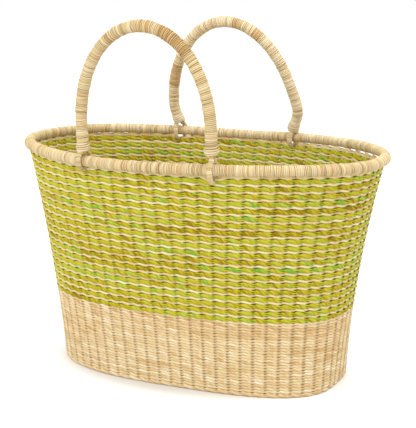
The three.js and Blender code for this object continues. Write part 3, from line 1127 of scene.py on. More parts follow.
@dataclass(frozen=True)
class GrassFinish:
    """Finish of twined or wound grass: shades from the darkest blade to the palest."""

    name: str
    shades: tuple[Colour, ...]
    stops: tuple[float, ...]
    # Colour of the streaks, whose darker copies are the painted shade in folds and along edges and the
    # painted shadow in the gaps between rows.
    streak_and_shade: Colour
    fleck: Colour
    blade_mix: float = 0.35
    patch_mix: float = 0.25
    patch_scale: float = 22.0
    streak_mix: float = 0.22
    fleck_mix: float = 0.3
    roughness: tuple[float, float] = (0.5, 0.72)
    specular: float = 0.1
    bump: float = 0.35
    bump_distance: float = 0.25 * MM
    # How far the painted shade and the painted gap shadow carry the colour, how dark they are, and which
    # part of the gap mask is spread over 0 to 1.
    painted_shade_mix: float = 0.85
    painted_shade_darkness: float = 0.55
    hole_shadow_mix: float = 0.92
    hole_shadow_darkness: float = 0.5
    hole_shadow_range: tuple[float, float] = (0.15, 0.45)

    def material(self) -> bpy.types.Material:
        """Builds the material once.

        The shade is read at tone + blade mix (Blade - 0.5) + patch mix (Patch - 0.5), darkened by the
        streaks, speckled, and carried towards darker copies of the hollow colour by two masks of painted
        shade: crease, in folds and along edges, and seam, the painted shadow of the gaps between rows.

        Returns:
            The material.
        """
        if self.name in bpy.data.materials:
            return bpy.data.materials[self.name]
        material, tree, shader = new_material(self.name)
        shader["Specular IOR Level"].default_value = self.specular
        tone, crease, seam = (
            add_node(tree, "Attribute", attribute_name=label).outputs["Fac"]
            for label in ("tone", "crease", "seam")
        )
        fibre = add_node(tree, "Group", node_tree=fibre_group()).outputs
        patch = add_node(tree, "Group", {"Scale": self.patch_scale}, node_tree=patch_group()).outputs
        shade = add_scaled(tree, tone, fibre["Blade"], self.blade_mix)
        shade = add_scaled(tree, shade, patch["Patch"], self.patch_mix)
        ramp = add_node(tree, "ValToRGB", {"Fac": shade})
        while len(ramp.color_ramp.elements) < len(self.shades):
            ramp.color_ramp.elements.new(0.5)
        for element, stop, colour in zip(ramp.color_ramp.elements, self.stops, self.shades):
            element.position = stop
            element.color = (*colour, 1.0)
        # Painted shade and painted gap shadow: darker copies of the streak colour, laid on by their two
        # masks.
        shade_colour = tuple(self.painted_shade_darkness * value for value in self.streak_and_shade)
        hole_shadow = tuple(self.hole_shadow_darkness * value for value in self.streak_and_shade)
        hole_shadows = spread_mask(tree, seam, *self.hole_shadow_range, interpolation_type="SMOOTHSTEP")
        colour = blend(tree, fibre["Streak"], self.streak_mix, ramp.outputs["Color"], self.streak_and_shade)
        colour = blend(tree, fibre["Fleck"], self.fleck_mix, colour, self.fleck)
        colour = blend(tree, crease, self.painted_shade_mix, colour, shade_colour)
        colour = blend(tree, hole_shadows, self.hole_shadow_mix, colour, hole_shadow)
        smoothest, roughest = self.roughness
        inputs = {"Value": fibre["Streak"], "To Min": smoothest, "To Max": roughest}
        rough = add_node(tree, "MapRange", inputs)
        inputs = {"Strength": self.bump, "Distance": self.bump_distance, "Height": fibre["Height"]}
        bump = add_node(tree, "Bump", inputs)
        tree.links.new(colour, shader["Base Color"])
        tree.links.new(rough.outputs["Result"], shader["Roughness"])
        tree.links.new(bump.outputs["Normal"], shader["Normal"])
        return material


GREEN = GrassFinish(
    name="dyed_green_grass",
    shades=(
        srgb(146, 122, 12),
        srgb(185, 172, 16),
        srgb(200, 195, 52),
        srgb(188, 203, 66),
        srgb(120, 178, 48),
    ),
    stops=(0.05, 0.3, 0.6, 0.78, 0.95),
    streak_and_shade=srgb(104, 82, 4),
    fleck=srgb(176, 128, 28),
    blade_mix=0.8,
)
NATURAL = GrassFinish(
    name="natural_stripe_grass",
    shades=(srgb(214, 184, 124), srgb(232, 211, 155), srgb(239, 222, 172), srgb(246, 237, 202)),
    stops=(0.05, 0.4, 0.65, 0.95),
    streak_and_shade=srgb(134, 84, 8),
    fleck=srgb(168, 122, 60),
    blade_mix=0.45,
)
PLAIN = GrassFinish(
    name="plain_straw_grass",
    shades=(srgb(209, 173, 116), srgb(230, 205, 157), srgb(239, 220, 176), srgb(249, 240, 210)),
    stops=(0.05, 0.4, 0.65, 0.95),
    streak_and_shade=srgb(150, 96, 8),
    fleck=srgb(170, 122, 56),
    blade_mix=0.45,
    streak_mix=0.3,
    hole_shadow_darkness=0.62,
)
WOUND = GrassFinish(
    name="wound_split_grass",
    shades=(srgb(178, 138, 82), srgb(219, 198, 150), srgb(233, 216, 172), srgb(248, 238, 206)),
    stops=(0.0, 0.35, 0.62, 0.95),
    streak_and_shade=srgb(172, 122, 52),
    fleck=srgb(176, 130, 62),
    roughness=(0.42, 0.66),
)
# Lighter copy of the wound grass, which stands in for light: painted light on the back rim and the back
# handle.
WOUND_PAINTED_LIGHTER = GrassFinish(
    name="pale_wound_grass",
    shades=(srgb(196, 160, 108), srgb(232, 212, 170), srgb(242, 228, 194), srgb(252, 244, 222)),
    stops=(0.0, 0.35, 0.62, 0.95),
    streak_and_shade=srgb(190, 146, 82),
    fleck=srgb(176, 134, 76),
    roughness=(0.42, 0.66),
)


@dataclass(frozen=True)
class BundleFinish:
    """Finish of the bundles inside the windings: grain on Object coordinates."""

    name: str = "bundled_grass"
    dark: Colour = srgb(150, 112, 62)
    pale: Colour = srgb(206, 172, 112)
    scale: float = 900.0
    roughness: float = 0.75
    bump: float = 0.4
    bump_distance: float = 0.3 * MM

    def material(self) -> bpy.types.Material:
        """Builds the material once: noise between the two colours, and the same noise as a bump.

        Returns:
            The material.
        """
        if self.name in bpy.data.materials:
            return bpy.data.materials[self.name]
        material, tree, shader = new_material(self.name)
        shader["Roughness"].default_value = self.roughness
        place = add_node(tree, "TexCoord").outputs["Object"]
        noise = add_node(tree, "TexNoise", {"Vector": place, "Scale": self.scale, "Detail": 4.0})
        ramp = add_node(tree, "ValToRGB", {"Fac": noise.outputs["Fac"]})
        ramp.color_ramp.elements[0].color = (*self.dark, 1.0)
        ramp.color_ramp.elements[1].color = (*self.pale, 1.0)
        inputs = {"Strength": self.bump, "Distance": self.bump_distance, "Height": noise.outputs["Fac"]}
        bump = add_node(tree, "Bump", inputs)
        tree.links.new(ramp.outputs["Color"], shader["Base Color"])
        tree.links.new(bump.outputs["Normal"], shader["Normal"])
        return material


def settle(
    piece: bpy.types.Object, body: Body, nodes: Sequence[str] = ()
) -> bpy.types.Object:
    """Gives a piece its body and the CAD nodes it stands for, and reports it.

    Args:
        piece: the finished piece.
        body: body that it rides on.
        nodes: CAD nodes that it replaces.

    Returns:
        The piece.
    """
    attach(piece, body.value)
    if nodes:
        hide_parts(*nodes)
    log.info("%s: %d faces on %s", piece.name, len(piece.data.polygons), body.value)
    return piece


@dataclass
class StripedBand:
    """The upper wall: natural rows and green rows in turn, a natural one next to the rim."""

    wall: OvalWall
    eyes: EyePlaces
    top: float = 241.8 * MM
    bottom: float = 83.5 * MM
    pairs: int = 20
    green_thickness: float = 1.24
    natural_thickness: float = 0.8
    natural_sunk: float = 0.2 * MM
    rows_in_a_piece: int = 10

    def heights(self) -> Array:
        """Middle height of every row, from the top down."""
        pitch = (self.top - self.bottom) / (2 * self.pairs)
        return self.top - (np.arange(2 * self.pairs) + 0.5) * pitch

    def build(self) -> None:
        """Builds each green row as a piece and the natural rows as two pieces."""
        weave = TwinedRows(self.wall, Twining(), eyes=self.eyes)
        heights = self.heights()
        size = np.array([self.green_thickness])
        for number, height in enumerate(heights[1::2], start=1):
            rows = weave.rows(np.array([height]), size, Seed.GREEN_ROWS + number)
            name = f"green_row_{number:02d}"
            piece = rows.to_piece(f"twined_{name}", GREEN.material())
            settle(piece, Body.BASKET, [name])
        natural = heights[0::2]
        for label, part, node, seed in (
            ("natural_rows_upper", natural[: self.rows_in_a_piece], "stake_crown", Seed.UPPER_NATURAL_ROWS),
            ("natural_rows_lower", natural[self.rows_in_a_piece :], "upper_wall", Seed.LOWER_NATURAL_ROWS),
        ):
            size = np.full(len(part), self.natural_thickness)
            rows = weave.rows(part, size, seed, self.natural_sunk)
            settle(rows.to_piece(label, NATURAL.material()), Body.BASKET, [node])


@dataclass
class PlainBand:
    """The lower wall: plain rows, closer together than the striped ones."""

    wall: OvalWall
    top: float = 83.5 * MM
    bottom: float = 5.4 * MM
    rows: int = 25
    rows_in_a_piece: int = 9

    def build(self) -> None:
        """Builds the rows in three pieces, each of them a stack of rows."""
        pitch = (self.top - self.bottom) / self.rows
        shrink = pitch / (3.89 * MM)
        twining = Twining(
            climb=1.22 * MM * shrink,
            flat_height=1.98 * MM * shrink,
            pinch_height=1.26 * MM * shrink,
            swing=0.44 * MM,
            hole_shadow=1.8,
            low_hole_shadow=0.8,
            wander=0.16 * MM,
        )
        weave = TwinedRows(self.wall, twining)
        heights = self.top - (np.arange(self.rows) + 0.5) * pitch
        for number, start in enumerate(range(0, self.rows, self.rows_in_a_piece), start=1):
            part = heights[start : start + self.rows_in_a_piece]
            rows = weave.rows(part, np.ones(len(part)), Seed.PLAIN_ROWS + number)
            piece = rows.to_piece(f"plain_rows_{number}", PLAIN.material())
            settle(piece, Body.BASKET, ["lower_wall"])


@dataclass
class Heel:
    """The thick twisted row round the bottom edge, which the basket stands on."""

    wall: OvalWall
    height: float = 5.9 * MM
    width: float = 5.6 * MM

    def build(self) -> None:
        """Builds one pair of thick strands, whose stitches scallop the bottom edge."""
        twining = Twining(
            steps=10,
            sides=8,
            swing=0.9 * MM,
            climb=1.3 * MM,
            flat_height=2.4 * MM,
            flat_thickness=1.8 * MM,
            pinch_height=1.55 * MM,
            pinch_thickness=2.1 * MM,
            size_spread=0.02,
            wander=0.0,
            hug=0.7,
            low_hole_shadow=0.3,
        )
        weave = TwinedRows(self.wall, twining, middle_depth=-self.width / 2)
        heel = weave.rows(np.array([self.height / 2]), np.array([1.0]), Seed.HEEL)
        settle(heel.to_piece("heel_twist", PLAIN.material()), Body.BASKET, ["heel_row"])


@dataclass
class TwinedFloor:
    """The floor: rows round a straight spine, each a slimmer oval than the one outside it."""

    wall: OvalWall
    edge_inset: float = 6.3 * MM
    spine_half_length: float = 76 * MM
    rows: int = 20
    middle_height: float = 2.25 * MM
    rows_in_a_piece: int = 10
    spoke_half_width: float = 1.3 * MM
    spoke_half_thickness: float = 0.55 * MM
    spoke_start: float = 0.6
    spoke_stations: int = 24
    spine_half_width: float = 2.4 * MM
    spine_half_thickness: float = 1.7 * MM
    spine_overhang: float = 2 * MM
    spine_stations: int = 40

    def ring(self, share: Array, level: Array, height: Array) -> tuple[Array, Array]:
        """Point of an oval whose half sizes are (spine + (a - spine) k, b k), k being its level.

        Args:
            share: 0 to 1 round the oval.
            level: k, from 0 at the spine to 1 at the heel.
            height: height above the ground.

        Returns:
            The points, and downward normals, which are the outer side of the floor.
        """
        half_length = self.wall.base_half_length - self.edge_inset
        half_depth = self.wall.base_half_depth - self.edge_inset
        long_side = self.spine_half_length + (half_length - self.spine_half_length) * level
        turn = self.wall.turn_at(share, np.zeros_like(level))
        corner = np.where(np.cos(turn) < 0, self.wall.left_corner, self.wall.right_corner)
        flat, _ = superellipse(long_side, half_depth * level, self.wall.base_squareness + corner, turn)
        points = np.concatenate([flat, height[..., None]], axis=-1)
        return points, np.broadcast_to(np.array([0.0, 0.0, -1.0]), points.shape)

    def build(self) -> None:
        """Builds the rows in two pieces, and the spokes and the spine that they are twined on."""
        half_depth = self.wall.base_half_depth - self.edge_inset
        pitch = half_depth / (self.rows + 0.5)
        twining = Twining(
            steps=6,
            swing=1.25 * MM,
            climb=0.24 * pitch,
            flat_height=0.47 * pitch,
            flat_thickness=0.72 * MM,
            pinch_height=0.27 * pitch,
            pinch_thickness=0.9 * MM,
            fold_shade=0.3,
            edge_shade=0.3,
        )
        rng = seeded(Seed.FLOOR)
        for number, start in enumerate(range(0, self.rows, self.rows_in_a_piece), start=1):
            numbers = np.arange(start, min(start + self.rows_in_a_piece, self.rows))
            radii = half_depth - (numbers + 0.5) * pitch
            strands = 2 * len(radii)
            phase = twining.phase(strands)
            share = np.broadcast_to(twining.shares(), phase.shape)
            size = twining.stitch_size(strands, rng)
            radius = np.repeat(radii, 2)[:, None] + twining.climb * np.sin(phase)
            height = self.middle_height - twining.depth(phase)
            centres, outward = self.ring(share, radius / half_depth, height)
            # Painted shade where a strand turns behind a spoke and along its edges.
            rows = swept_strands(
                centres,
                outward,
                twining.half_height(phase) * size,
                twining.half_thickness(phase) * size,
                twining.stitch_tone(strands, rng),
                twining.fold_shade * np.sin(phase) ** 8,
                closed=True,
                sides=twining.sides,
                edge_shade=twining.edge_shade,
                twist=twining.slant,
            )
            piece = rows.to_piece(f"floor_rows_{number}", PLAIN.material())
            settle(piece, Body.BASKET, ["base_disc"])
        self.build_spokes(twining, pitch / half_depth)

    def build_spokes(self, twining: Twining, level_step: float) -> None:
        """Builds the flat spokes between the strands, and the spine in the middle.

        Args:
            twining: the floor's twining, whose stakes the spokes follow.
            level_step: change of level from row to row.
        """
        places = (np.arange(twining.stakes) + 0.5) / twining.stakes
        levels = np.linspace(self.spoke_start * level_step, 1.0, self.spoke_stations)
        share, level = np.meshgrid(places, levels, indexing="ij")
        centres, outward = self.ring(share, level, np.full_like(level, self.middle_height))
        even = np.ones_like(level)
        # Painted shade: strong on the spokes, hidden between the strands, and light on the spine.
        spokes = swept_strands(
            centres,
            outward,
            even * self.spoke_half_width,
            even * self.spoke_half_thickness,
            tone=even * 0.5,
            crease=even * 0.8,
            closed=False,
            sides=6,
        )
        end = self.spine_half_length + self.spine_overhang
        ends = np.array([[-end, 0.0, self.middle_height], [end, 0.0, self.middle_height]])
        spine = np.linspace(ends[0], ends[1], self.spine_stations)
        even = np.ones(len(spine))
        core = swept_strand(
            spine,
            np.broadcast_to(np.array([0.0, 0.0, -1.0]), spine.shape),
            even * self.spine_half_width,
            even * self.spine_half_thickness,
            even * 0.5,
            even * 0.1,
            closed=False,
            sides=6,
        )
        piece = Surface.join([spokes, core]).to_piece("floor_spokes", PLAIN.material())
        settle(piece, Body.BASKET)


@dataclass
class Stakes:
    """The upright stakes: hidden in the wall, bare in the open row, and ending inside the rim."""

    wall: OvalWall
    eyes: EyePlaces
    count: int = 64
    bottom: float = 3 * MM
    top: float = 243 * MM
    wall_half_width: float = 1.5 * MM
    open_half_width: float = 4.8 * MM
    half_thickness: float = 0.8 * MM
    depth: float = -1.8 * MM
    eye_room: float = 9.8 * MM
    turn_aside: float = 216 * MM
    open_from: float = 234 * MM
    open_shade_from: float = 237 * MM
    widening: float = 4 * MM
    unevenness: float = 0.12
    low_stations: int = 30
    high_stations: int = 14

    def build(self) -> None:
        """Builds every stake along the wall; near an eye it turns aside on its last 27 mm."""
        rng = seeded(Seed.STAKES)
        share = (np.arange(self.count) + 0.5) / self.count
        aside = self.eyes.aside(share, self.eye_room)
        low = np.linspace(self.bottom, self.turn_aside - 2 * MM, self.low_stations)
        high = np.linspace(self.turn_aside + 2 * MM, self.top, self.high_stations)
        height = np.concatenate([low, high])
        climb = np.clip((height - self.turn_aside) / (self.open_from - self.turn_aside), 0, 1)
        ease = climb * climb * (3 - 2 * climb)
        place = share[:, None] + (aside - share)[:, None] * ease[None, :]
        level = np.broadcast_to(height, place.shape)
        centres, outward = self.wall.point(place, level, np.full_like(place, self.depth))
        open_row = np.clip((level - self.open_from) / self.widening, 0, 1)
        size = 1 + self.unevenness * rng.uniform(-1, 1, (self.count, 1))
        width = (self.wall_half_width + (self.open_half_width - self.wall_half_width) * open_row) * size
        tone = np.broadcast_to(rng.uniform(0.1, 0.9, (self.count, 1)), place.shape)
        # Painted shade: stronger where a stake is hidden in the wall, weaker in the open row.
        stakes = swept_strands(
            centres,
            outward,
            width,
            np.full_like(place, self.half_thickness),
            tone,
            np.where(level > self.open_shade_from, 0.1, 0.35),
            closed=False,
            sides=8,
        )
        settle(stakes.to_piece("stakes", NATURAL.material()), Body.BASKET)


@dataclass
class WoundRim:
    """The rim: a hoop wound with split grass in four lengths."""

    half_length: float = 205 * MM
    half_depth: float = 122 * MM
    squareness: float = 2.3
    left_pull: float = 4.5 * MM
    height: float = 247 * MM
    radius: float = 5.8 * MM
    under_radius: float = 5.0 * MM
    core_radius: float = 3.5 * MM
    core_stations: int = 720
    stations: int = 1440
    rolls: int = 24
    roll: float = 0.35 * MM
    bumps: int = 90
    bump: float = 0.22 * MM
    splice_turns: tuple[float, ...] = (50.0, 140.0, 230.0, 320.0)
    names: tuple[str, ...] = ("back", "left", "front", "right")
    winding: Winding = Winding(
        contrast=0.15, section=Section(long=1.06, short=0.94, tilt=math.radians(45))
    )

    def path(self) -> FlatPath:
        """Centreline of the rim: a superellipse that sways and rolls a little up and down.

        Returns:
            The closed path.
        """
        turns = np.linspace(0, 2 * np.pi, self.stations + 1)[:-1]
        flat, _ = superellipse(
            np.full_like(turns, self.half_length),
            np.full_like(turns, self.half_depth),
            np.full_like(turns, self.squareness),
            turns,
        )
        flat = pulled_in(flat, np.full(len(turns), self.left_pull))
        rng = seeded(Seed.RIM_ROLL)
        spacing = self.stations // self.rolls
        roll = self.roll * smooth_noise(np.arange(self.stations) / spacing, self.rolls, rng)
        level = self.height + SWAY.read(SWAY.rim, turns) + roll
        points = np.concatenate([flat, level[:, None]], axis=-1)
        return FlatPath(points, np.array([0.0, 0.0, 1.0]), closed=True)

    def distance_at(self, path: FlatPath, degrees: float) -> float:
        """Distance along the rim at which the superellipse's angle is some degrees."""
        return float(np.interp(degrees / 360 * self.stations, np.arange(self.stations + 1), path.reach))

    def build(self) -> None:
        """Builds each length of winding over its part of the hoop."""
        path = self.path()
        bumps = seeded(Seed.RIM_BUMPS).uniform(-1, 1, self.bumps)

        def radius(distance: Array) -> Array:
            """Radius of the roll, a little fatter and thinner along the rim."""
            knots = np.linspace(0, path.length, self.bumps)
            return self.radius + self.bump * np.interp(np.mod(distance, path.length), knots, bumps)

        splices = [self.distance_at(path, degrees) for degrees in self.splice_turns]
        splices.append(splices[0] + path.length)
        for number, (name, start, end) in enumerate(zip(self.names, splices[:-1], splices[1:])):
            blade = self.winding.wind(path, start, end, radius, Seed.RIM_WINDING + number)
            reach = self.under_radius
            ends = (start - reach, end + reach)
            under = rod(path, *ends, reach, stations=60, sides=12, section=self.winding.section)
            # The back length takes the lighter copy, as painted light.
            finish = WOUND_PAINTED_LIGHTER if name == "back" else WOUND
            piece = join_with_caps(blade, under).to_piece(f"rim_winding_{name}", finish.material())
            settle(piece, Body.BASKET, [f"rim_wrap_{name}"])
        share = np.arange(self.core_stations) / self.core_stations
        spot, normal, across = path.read(share * path.length)
        out, _ = self.winding.section.spread(normal, across)
        flat = np.full(len(spot), 0.25)
        size = np.full(len(spot), self.core_radius)
        core = swept_strand(spot, out, size, size, flat, flat, closed=True, sides=10)
        piece = core.to_piece("rim_bundle", BundleFinish().material())
        settle(piece, Body.BASKET, ["rim_core"])


def join_with_caps(first: Surface, second: Surface) -> Surface:
    """Joins two surfaces whose caps have different numbers of corners.

    Each cap of the second becomes a fan of quads, (n - 2) / 2 of them for n corners.

    Args:
        first: surface that keeps its caps.
        second: surface with an even number of corners in a cap.

    Returns:
        One surface.
    """
    caps = second.caps
    corners = caps.shape[1]
    pieces = [caps[:, [0, i, i + 1, i + 2]] for i in range(1, corners - 2, 2)]
    fans = np.concatenate(pieces) if len(caps) else np.zeros((0, 4), dtype=int)
    plain = np.zeros((len(fans), 4, 2))
    closed = Surface(
        points=second.points,
        quads=np.concatenate([second.quads, fans]),
        grain=np.concatenate([second.grain, plain]),
        caps=np.zeros((0, first.caps.shape[1]), dtype=int),
        tone=second.tone,
        crease=second.crease,
        seam=second.seam,
    )
    return Surface.join([first, closed])


@dataclass(frozen=True)
class Foot:
    """One foot of a handle, as its maker left it.

    The winding ends at wrap_end, swollen by swell. The eye hangs drop times as deep as it is wide,
    stands aside of the foot, and its front leg lies skew to the left of the middle. The leg above it
    bows outward by bow.
    """

    wrap_end: float
    skew: float = 2.7 * MM
    aside: float = 0.0
    drop: float = 1.0
    swell: float = 0.5 * MM
    pressed: float = 4.2 * MM
    bow: float = 0.0


@dataclass
class SwingHandle:
    """A wound arch on two eyes that pass round the rim. Lengths are from the rim's centreline."""

    side: Side
    body: Body
    lean: float
    arch_rise: float
    arch_half_span: float
    feet: tuple[Foot, Foot]
    finish: GrassFinish
    half_span: float = 74.4 * MM
    leg_height: float = 35 * MM
    shoulder: float = 0.0
    radius: float = 6.35 * MM
    under_sunk: float = 0.85 * MM
    under_reach: float = 1.2 * MM
    core_radius: float = 4.2 * MM
    core_inset: float = 2 * MM
    arch_steps: int = 180
    leg_steps: int = 20
    eye_radius: float = 9.4 * MM
    eye_cord: float = 3.1 * MM
    eye_thin: float = 0.75
    eye_thin_end: float = 10 * MM
    eye_thick_from: float = 18 * MM
    eye_wound_from: float = 8 * MM
    eye_under_from: float = 6 * MM
    eye_under_sunk: float = 0.45 * MM
    eye_steps: int = 48
    eye_stations: int = 160
    fork_height: float = 12 * MM
    fork_half_gap: float = 2.6 * MM
    tail_top: float = 27 * MM
    bow_reach: float = 20 * MM
    skew_reach: float = 4 * MM
    bumps: int = 40
    bump: float = 0.2 * MM
    binding_lap: float = 0.3 * MM
    binding_reach: float = 9 * MM
    binding_lift: float = 0.5 * MM
    tan_runs: tuple[tuple[float, float], ...] = ()
    winding: Winding = Winding()
    eye_winding: Winding = Winding(
        pitch=1.7 * MM,
        half_width=0.98 * MM,
        half_thickness=0.4 * MM,
        shortest_run=4,
        longest_run=10,
        section=Section(long=1.0, short=0.62, tilt=math.pi / 2),
    )
    binding: Winding = Winding(pitch=2.1 * MM, half_width=1.3 * MM, half_thickness=0.55 * MM, jitter=0.05)

    def joint(self) -> dict:
        """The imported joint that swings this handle."""
        return next(entry for entry in frame["joints"] if entry["child"] == self.body.value)

    def placed(self, local: Array) -> Array:
        """Turns handle coordinates into the basket's.

        x runs from the left foot to the right one, z up the legs, and the handle leans about x. The
        origin and x come from the joint.

        Args:
            local: points or directions, last axis xyz, relative to the middle between the feet.

        Returns:
            The same, turned but not moved.
        """
        along = np.array(self.joint()["axis"], dtype=float)
        along = along * np.sign(along[0])
        up = np.array([0.0, 0.0, 1.0])
        across = np.cross(up, along)
        lean = math.radians(self.lean)
        y_way = across * math.cos(lean) + up * math.sin(lean)
        z_way = up * math.cos(lean) - across * math.sin(lean)
        return local @ np.stack([along, y_way, z_way])

    def origin(self) -> Array:
        """Middle between the feet, on the hinge axis."""
        return np.array(self.joint()["pos_m"], dtype=float)

    def foot(self, way: int) -> Foot:
        """The left foot for -1 and the right one for 1."""
        return self.feet[(way + 1) // 2]

    def leg_x(self, height: Array, way: int) -> Array:
        """Distance of a leg from the middle: foot + (a - foot) sin(pi z / 2 leg)^2, and its bow.

        Args:
            height: z up the leg.
            way: -1 for the left leg, 1 for the right one.

        Returns:
            Distances in metres.
        """
        share = np.clip(height / self.leg_height, 0.0, 1.0)
        lean_out = (self.arch_half_span - self.half_span) * np.sin(0.5 * np.pi * share) ** 2
        return self.half_span + lean_out + self.bow(height, way)

    def bow(self, height: Array, way: int) -> Array:
        """How far a foot's side is bent outward: bow exp(-((z - leg) / bow reach)^2)."""
        share = (height - self.leg_height) / self.bow_reach
        return self.foot(way).bow * np.exp(-(share**2))

    def arch_path(self) -> FlatPath:
        """Legs that lean out from the feet, and the arch (a cos t + shoulder sin 2t, leg + b sin t).

        Returns:
            The path from the left foot to the right one.
        """
        turn = np.linspace(np.pi, 0, self.arch_steps + 1)
        legs = np.linspace(0, self.leg_height, self.leg_steps + 1)[:-1]
        arch_x = self.arch_half_span * np.cos(turn) + self.shoulder * np.sin(2 * turn)
        arch_z = self.leg_height + self.arch_rise * np.sin(turn)
        arch_x = arch_x + np.where(arch_x < 0, -self.bow(arch_z, -1), self.bow(arch_z, 1))
        x = np.concatenate([-self.leg_x(legs, -1), arch_x, self.leg_x(legs, 1)[::-1]])
        z = np.concatenate([legs, arch_z, legs[::-1]])
        local = np.stack([x, np.zeros_like(x), z], axis=-1)
        return FlatPath(self.placed(local) + self.origin(), self.placed(np.array([0.0, 1.0, 0.0])))

    def eye_path(self, way: int) -> FlatPath:
        """An arc round the rim, two legs that lean together into the fork, and a tail from each.

        The two legs lie apart by x = skew tanh(y / skew reach). Above the rim the cord follows the
        handle's own leg, and below the rim's centreline z is stretched by the foot's drop.

        Args:
            way: -1 for the left foot, 1 for the right one.

        Returns:
            The path of the eye's cord.
        """
        foot = self.foot(way)
        reach = math.hypot(self.fork_half_gap, self.fork_height)
        touch = math.atan2(self.fork_height, self.fork_half_gap) - math.acos(self.eye_radius / reach)
        turn = np.linspace(touch, -np.pi - touch, self.eye_steps + 1)
        arc = np.stack([self.eye_radius * np.cos(turn), self.eye_radius * np.sin(turn)], axis=-1)
        arc[:, 1] = np.where(arc[:, 1] < 0, foot.drop * arc[:, 1], arc[:, 1])
        start = np.array([[self.fork_half_gap, self.tail_top], [self.fork_half_gap, self.fork_height]])
        outline = np.concatenate([start, arc, start[::-1] * [-1, 1]])
        stride = np.linalg.norm(np.diff(outline, axis=0), axis=1)
        reach_along = np.concatenate([[0.0], np.cumsum(stride)])
        even = np.linspace(0, reach_along[-1], self.eye_stations)
        y = np.interp(even, reach_along, outline[:, 0])
        z = np.interp(even, reach_along, outline[:, 1])
        kernel = np.hanning(9) / np.hanning(9).sum()
        for line in (y, z):
            line[4:-4] = np.convolve(line, kernel, mode="valid")
        x = way * self.leg_x(z, way) + foot.aside + foot.skew * np.tanh(y / self.skew_reach)
        local = np.stack([x, y, z], axis=-1)
        return FlatPath(self.placed(local) + self.origin(), self.placed(np.array([1.0, 0.0, 0.0])))

    def build(self) -> None:
        """Builds the wound arch, and an eye and a binding at each foot."""
        label = self.body.value
        seed = Seed.FRONT_HANDLE if self.side == Side.FRONT else Seed.BACK_HANDLE
        path = self.arch_path()
        bumps = seeded(seed).uniform(-1, 1, self.bumps)
        knots = np.linspace(0, path.length, self.bumps)

        def radius(distance: Array) -> Array:
            """Radius of the wound arch, a little uneven."""
            return self.radius + self.bump * np.interp(distance, knots, bumps)

        left, right = self.feet
        start, end = left.wrap_end, path.length - right.wrap_end
        blade = self.winding.wind(path, start, end, radius, seed + 1, self.tan_runs)
        ends = (start - self.under_reach, end + self.under_reach)
        under = rod(path, *ends, self.radius - self.under_sunk, stations=90, sides=10)
        piece = join_with_caps(blade, under).to_piece(f"{label}_winding", self.finish.material())
        settle(piece, self.body, [f"{label}_wrap"])
        ends = (start + self.core_inset, end - self.core_inset)
        core = rod(path, *ends, self.core_radius, stations=90, sides=10)
        piece = core.to_piece(f"{label}_bundle", BundleFinish().material())
        settle(piece, self.body, [f"{label}_core"])
        for end_name, way in (("left", -1), ("right", 1)):
            self.build_eye(end_name, way, seed + 5 + way)
            self.build_binding(end_name, way, path, seed + 10 + way)

    def build_eye(self, end_name: str, way: int, seed: int) -> None:
        """Builds the wound cord that passes round the rim.

        Args:
            end_name: left or right.
            way: -1 for the left foot, 1 for the right one.
            seed: seed of its winding.
        """
        path = self.eye_path(way)
        start, end = self.eye_wound_from, path.length - self.eye_wound_from
        places, shares = (self.eye_thin_end, self.eye_thick_from), (self.eye_thin, 1.0)

        def radius(distance: Array) -> Array:
            """Radius of the cord, thinner inside the arch's winding."""
            from_end = np.minimum(distance, path.length - distance)
            return self.eye_cord * np.interp(from_end, places, shares)

        blade = self.eye_winding.wind(path, start, end, radius, seed)
        distance = np.linspace(self.eye_under_from, path.length - self.eye_under_from, 60)
        spot, normal, _ = path.read(distance)
        inner = radius(distance) - self.eye_under_sunk
        flat = self.eye_winding.section.short
        # Painted shade: the cord lies under the eye's winding.
        tone = np.full(len(distance), 0.3)
        crease = np.full(len(distance), 0.6)
        under = swept_strand(spot, normal, inner, flat * inner, tone, crease, closed=False, sides=8)
        name = f"{self.side.name.lower()}_eye_{end_name}"
        piece = join_with_caps(blade, under).to_piece(f"wound_{name}", self.finish.material())
        settle(piece, self.body, [name])

    def build_binding(self, end_name: str, way: int, path: FlatPath, seed: int) -> None:
        """Builds the last turns of the arch's winding, laid over it at a foot.

        Args:
            end_name: left or right.
            way: -1 for the left foot, 1 for the right one.
            path: the arch's path.
            seed: seed of its winding.
        """
        foot = self.foot(way)
        low, high = foot.wrap_end - self.binding_lap, foot.wrap_end + self.binding_reach
        if way > 0:
            low, high = path.length - high, path.length - low

        def radius(distance: Array) -> Array:
            """Radius over the winding, fullest in the middle."""
            share = (distance - low) / (high - low)
            return self.radius + self.binding_lift + foot.swell * np.sin(np.pi * np.clip(share, 0, 1))

        coil = self.binding.wind(path, low, high, radius, seed)
        name = f"{self.side.name.lower()}_binding_{end_name}"
        piece = coil.to_piece(f"wound_{name}", self.finish.material())
        settle(piece, self.body, [name])


@dataclass(frozen=True)
class Lamp:
    """A square soft lamp: its place, the length of its side, its power in watts and its light."""

    name: str
    place: Vector
    size: float
    power: float
    colour: Colour = (1.0, 1.0, 1.0)


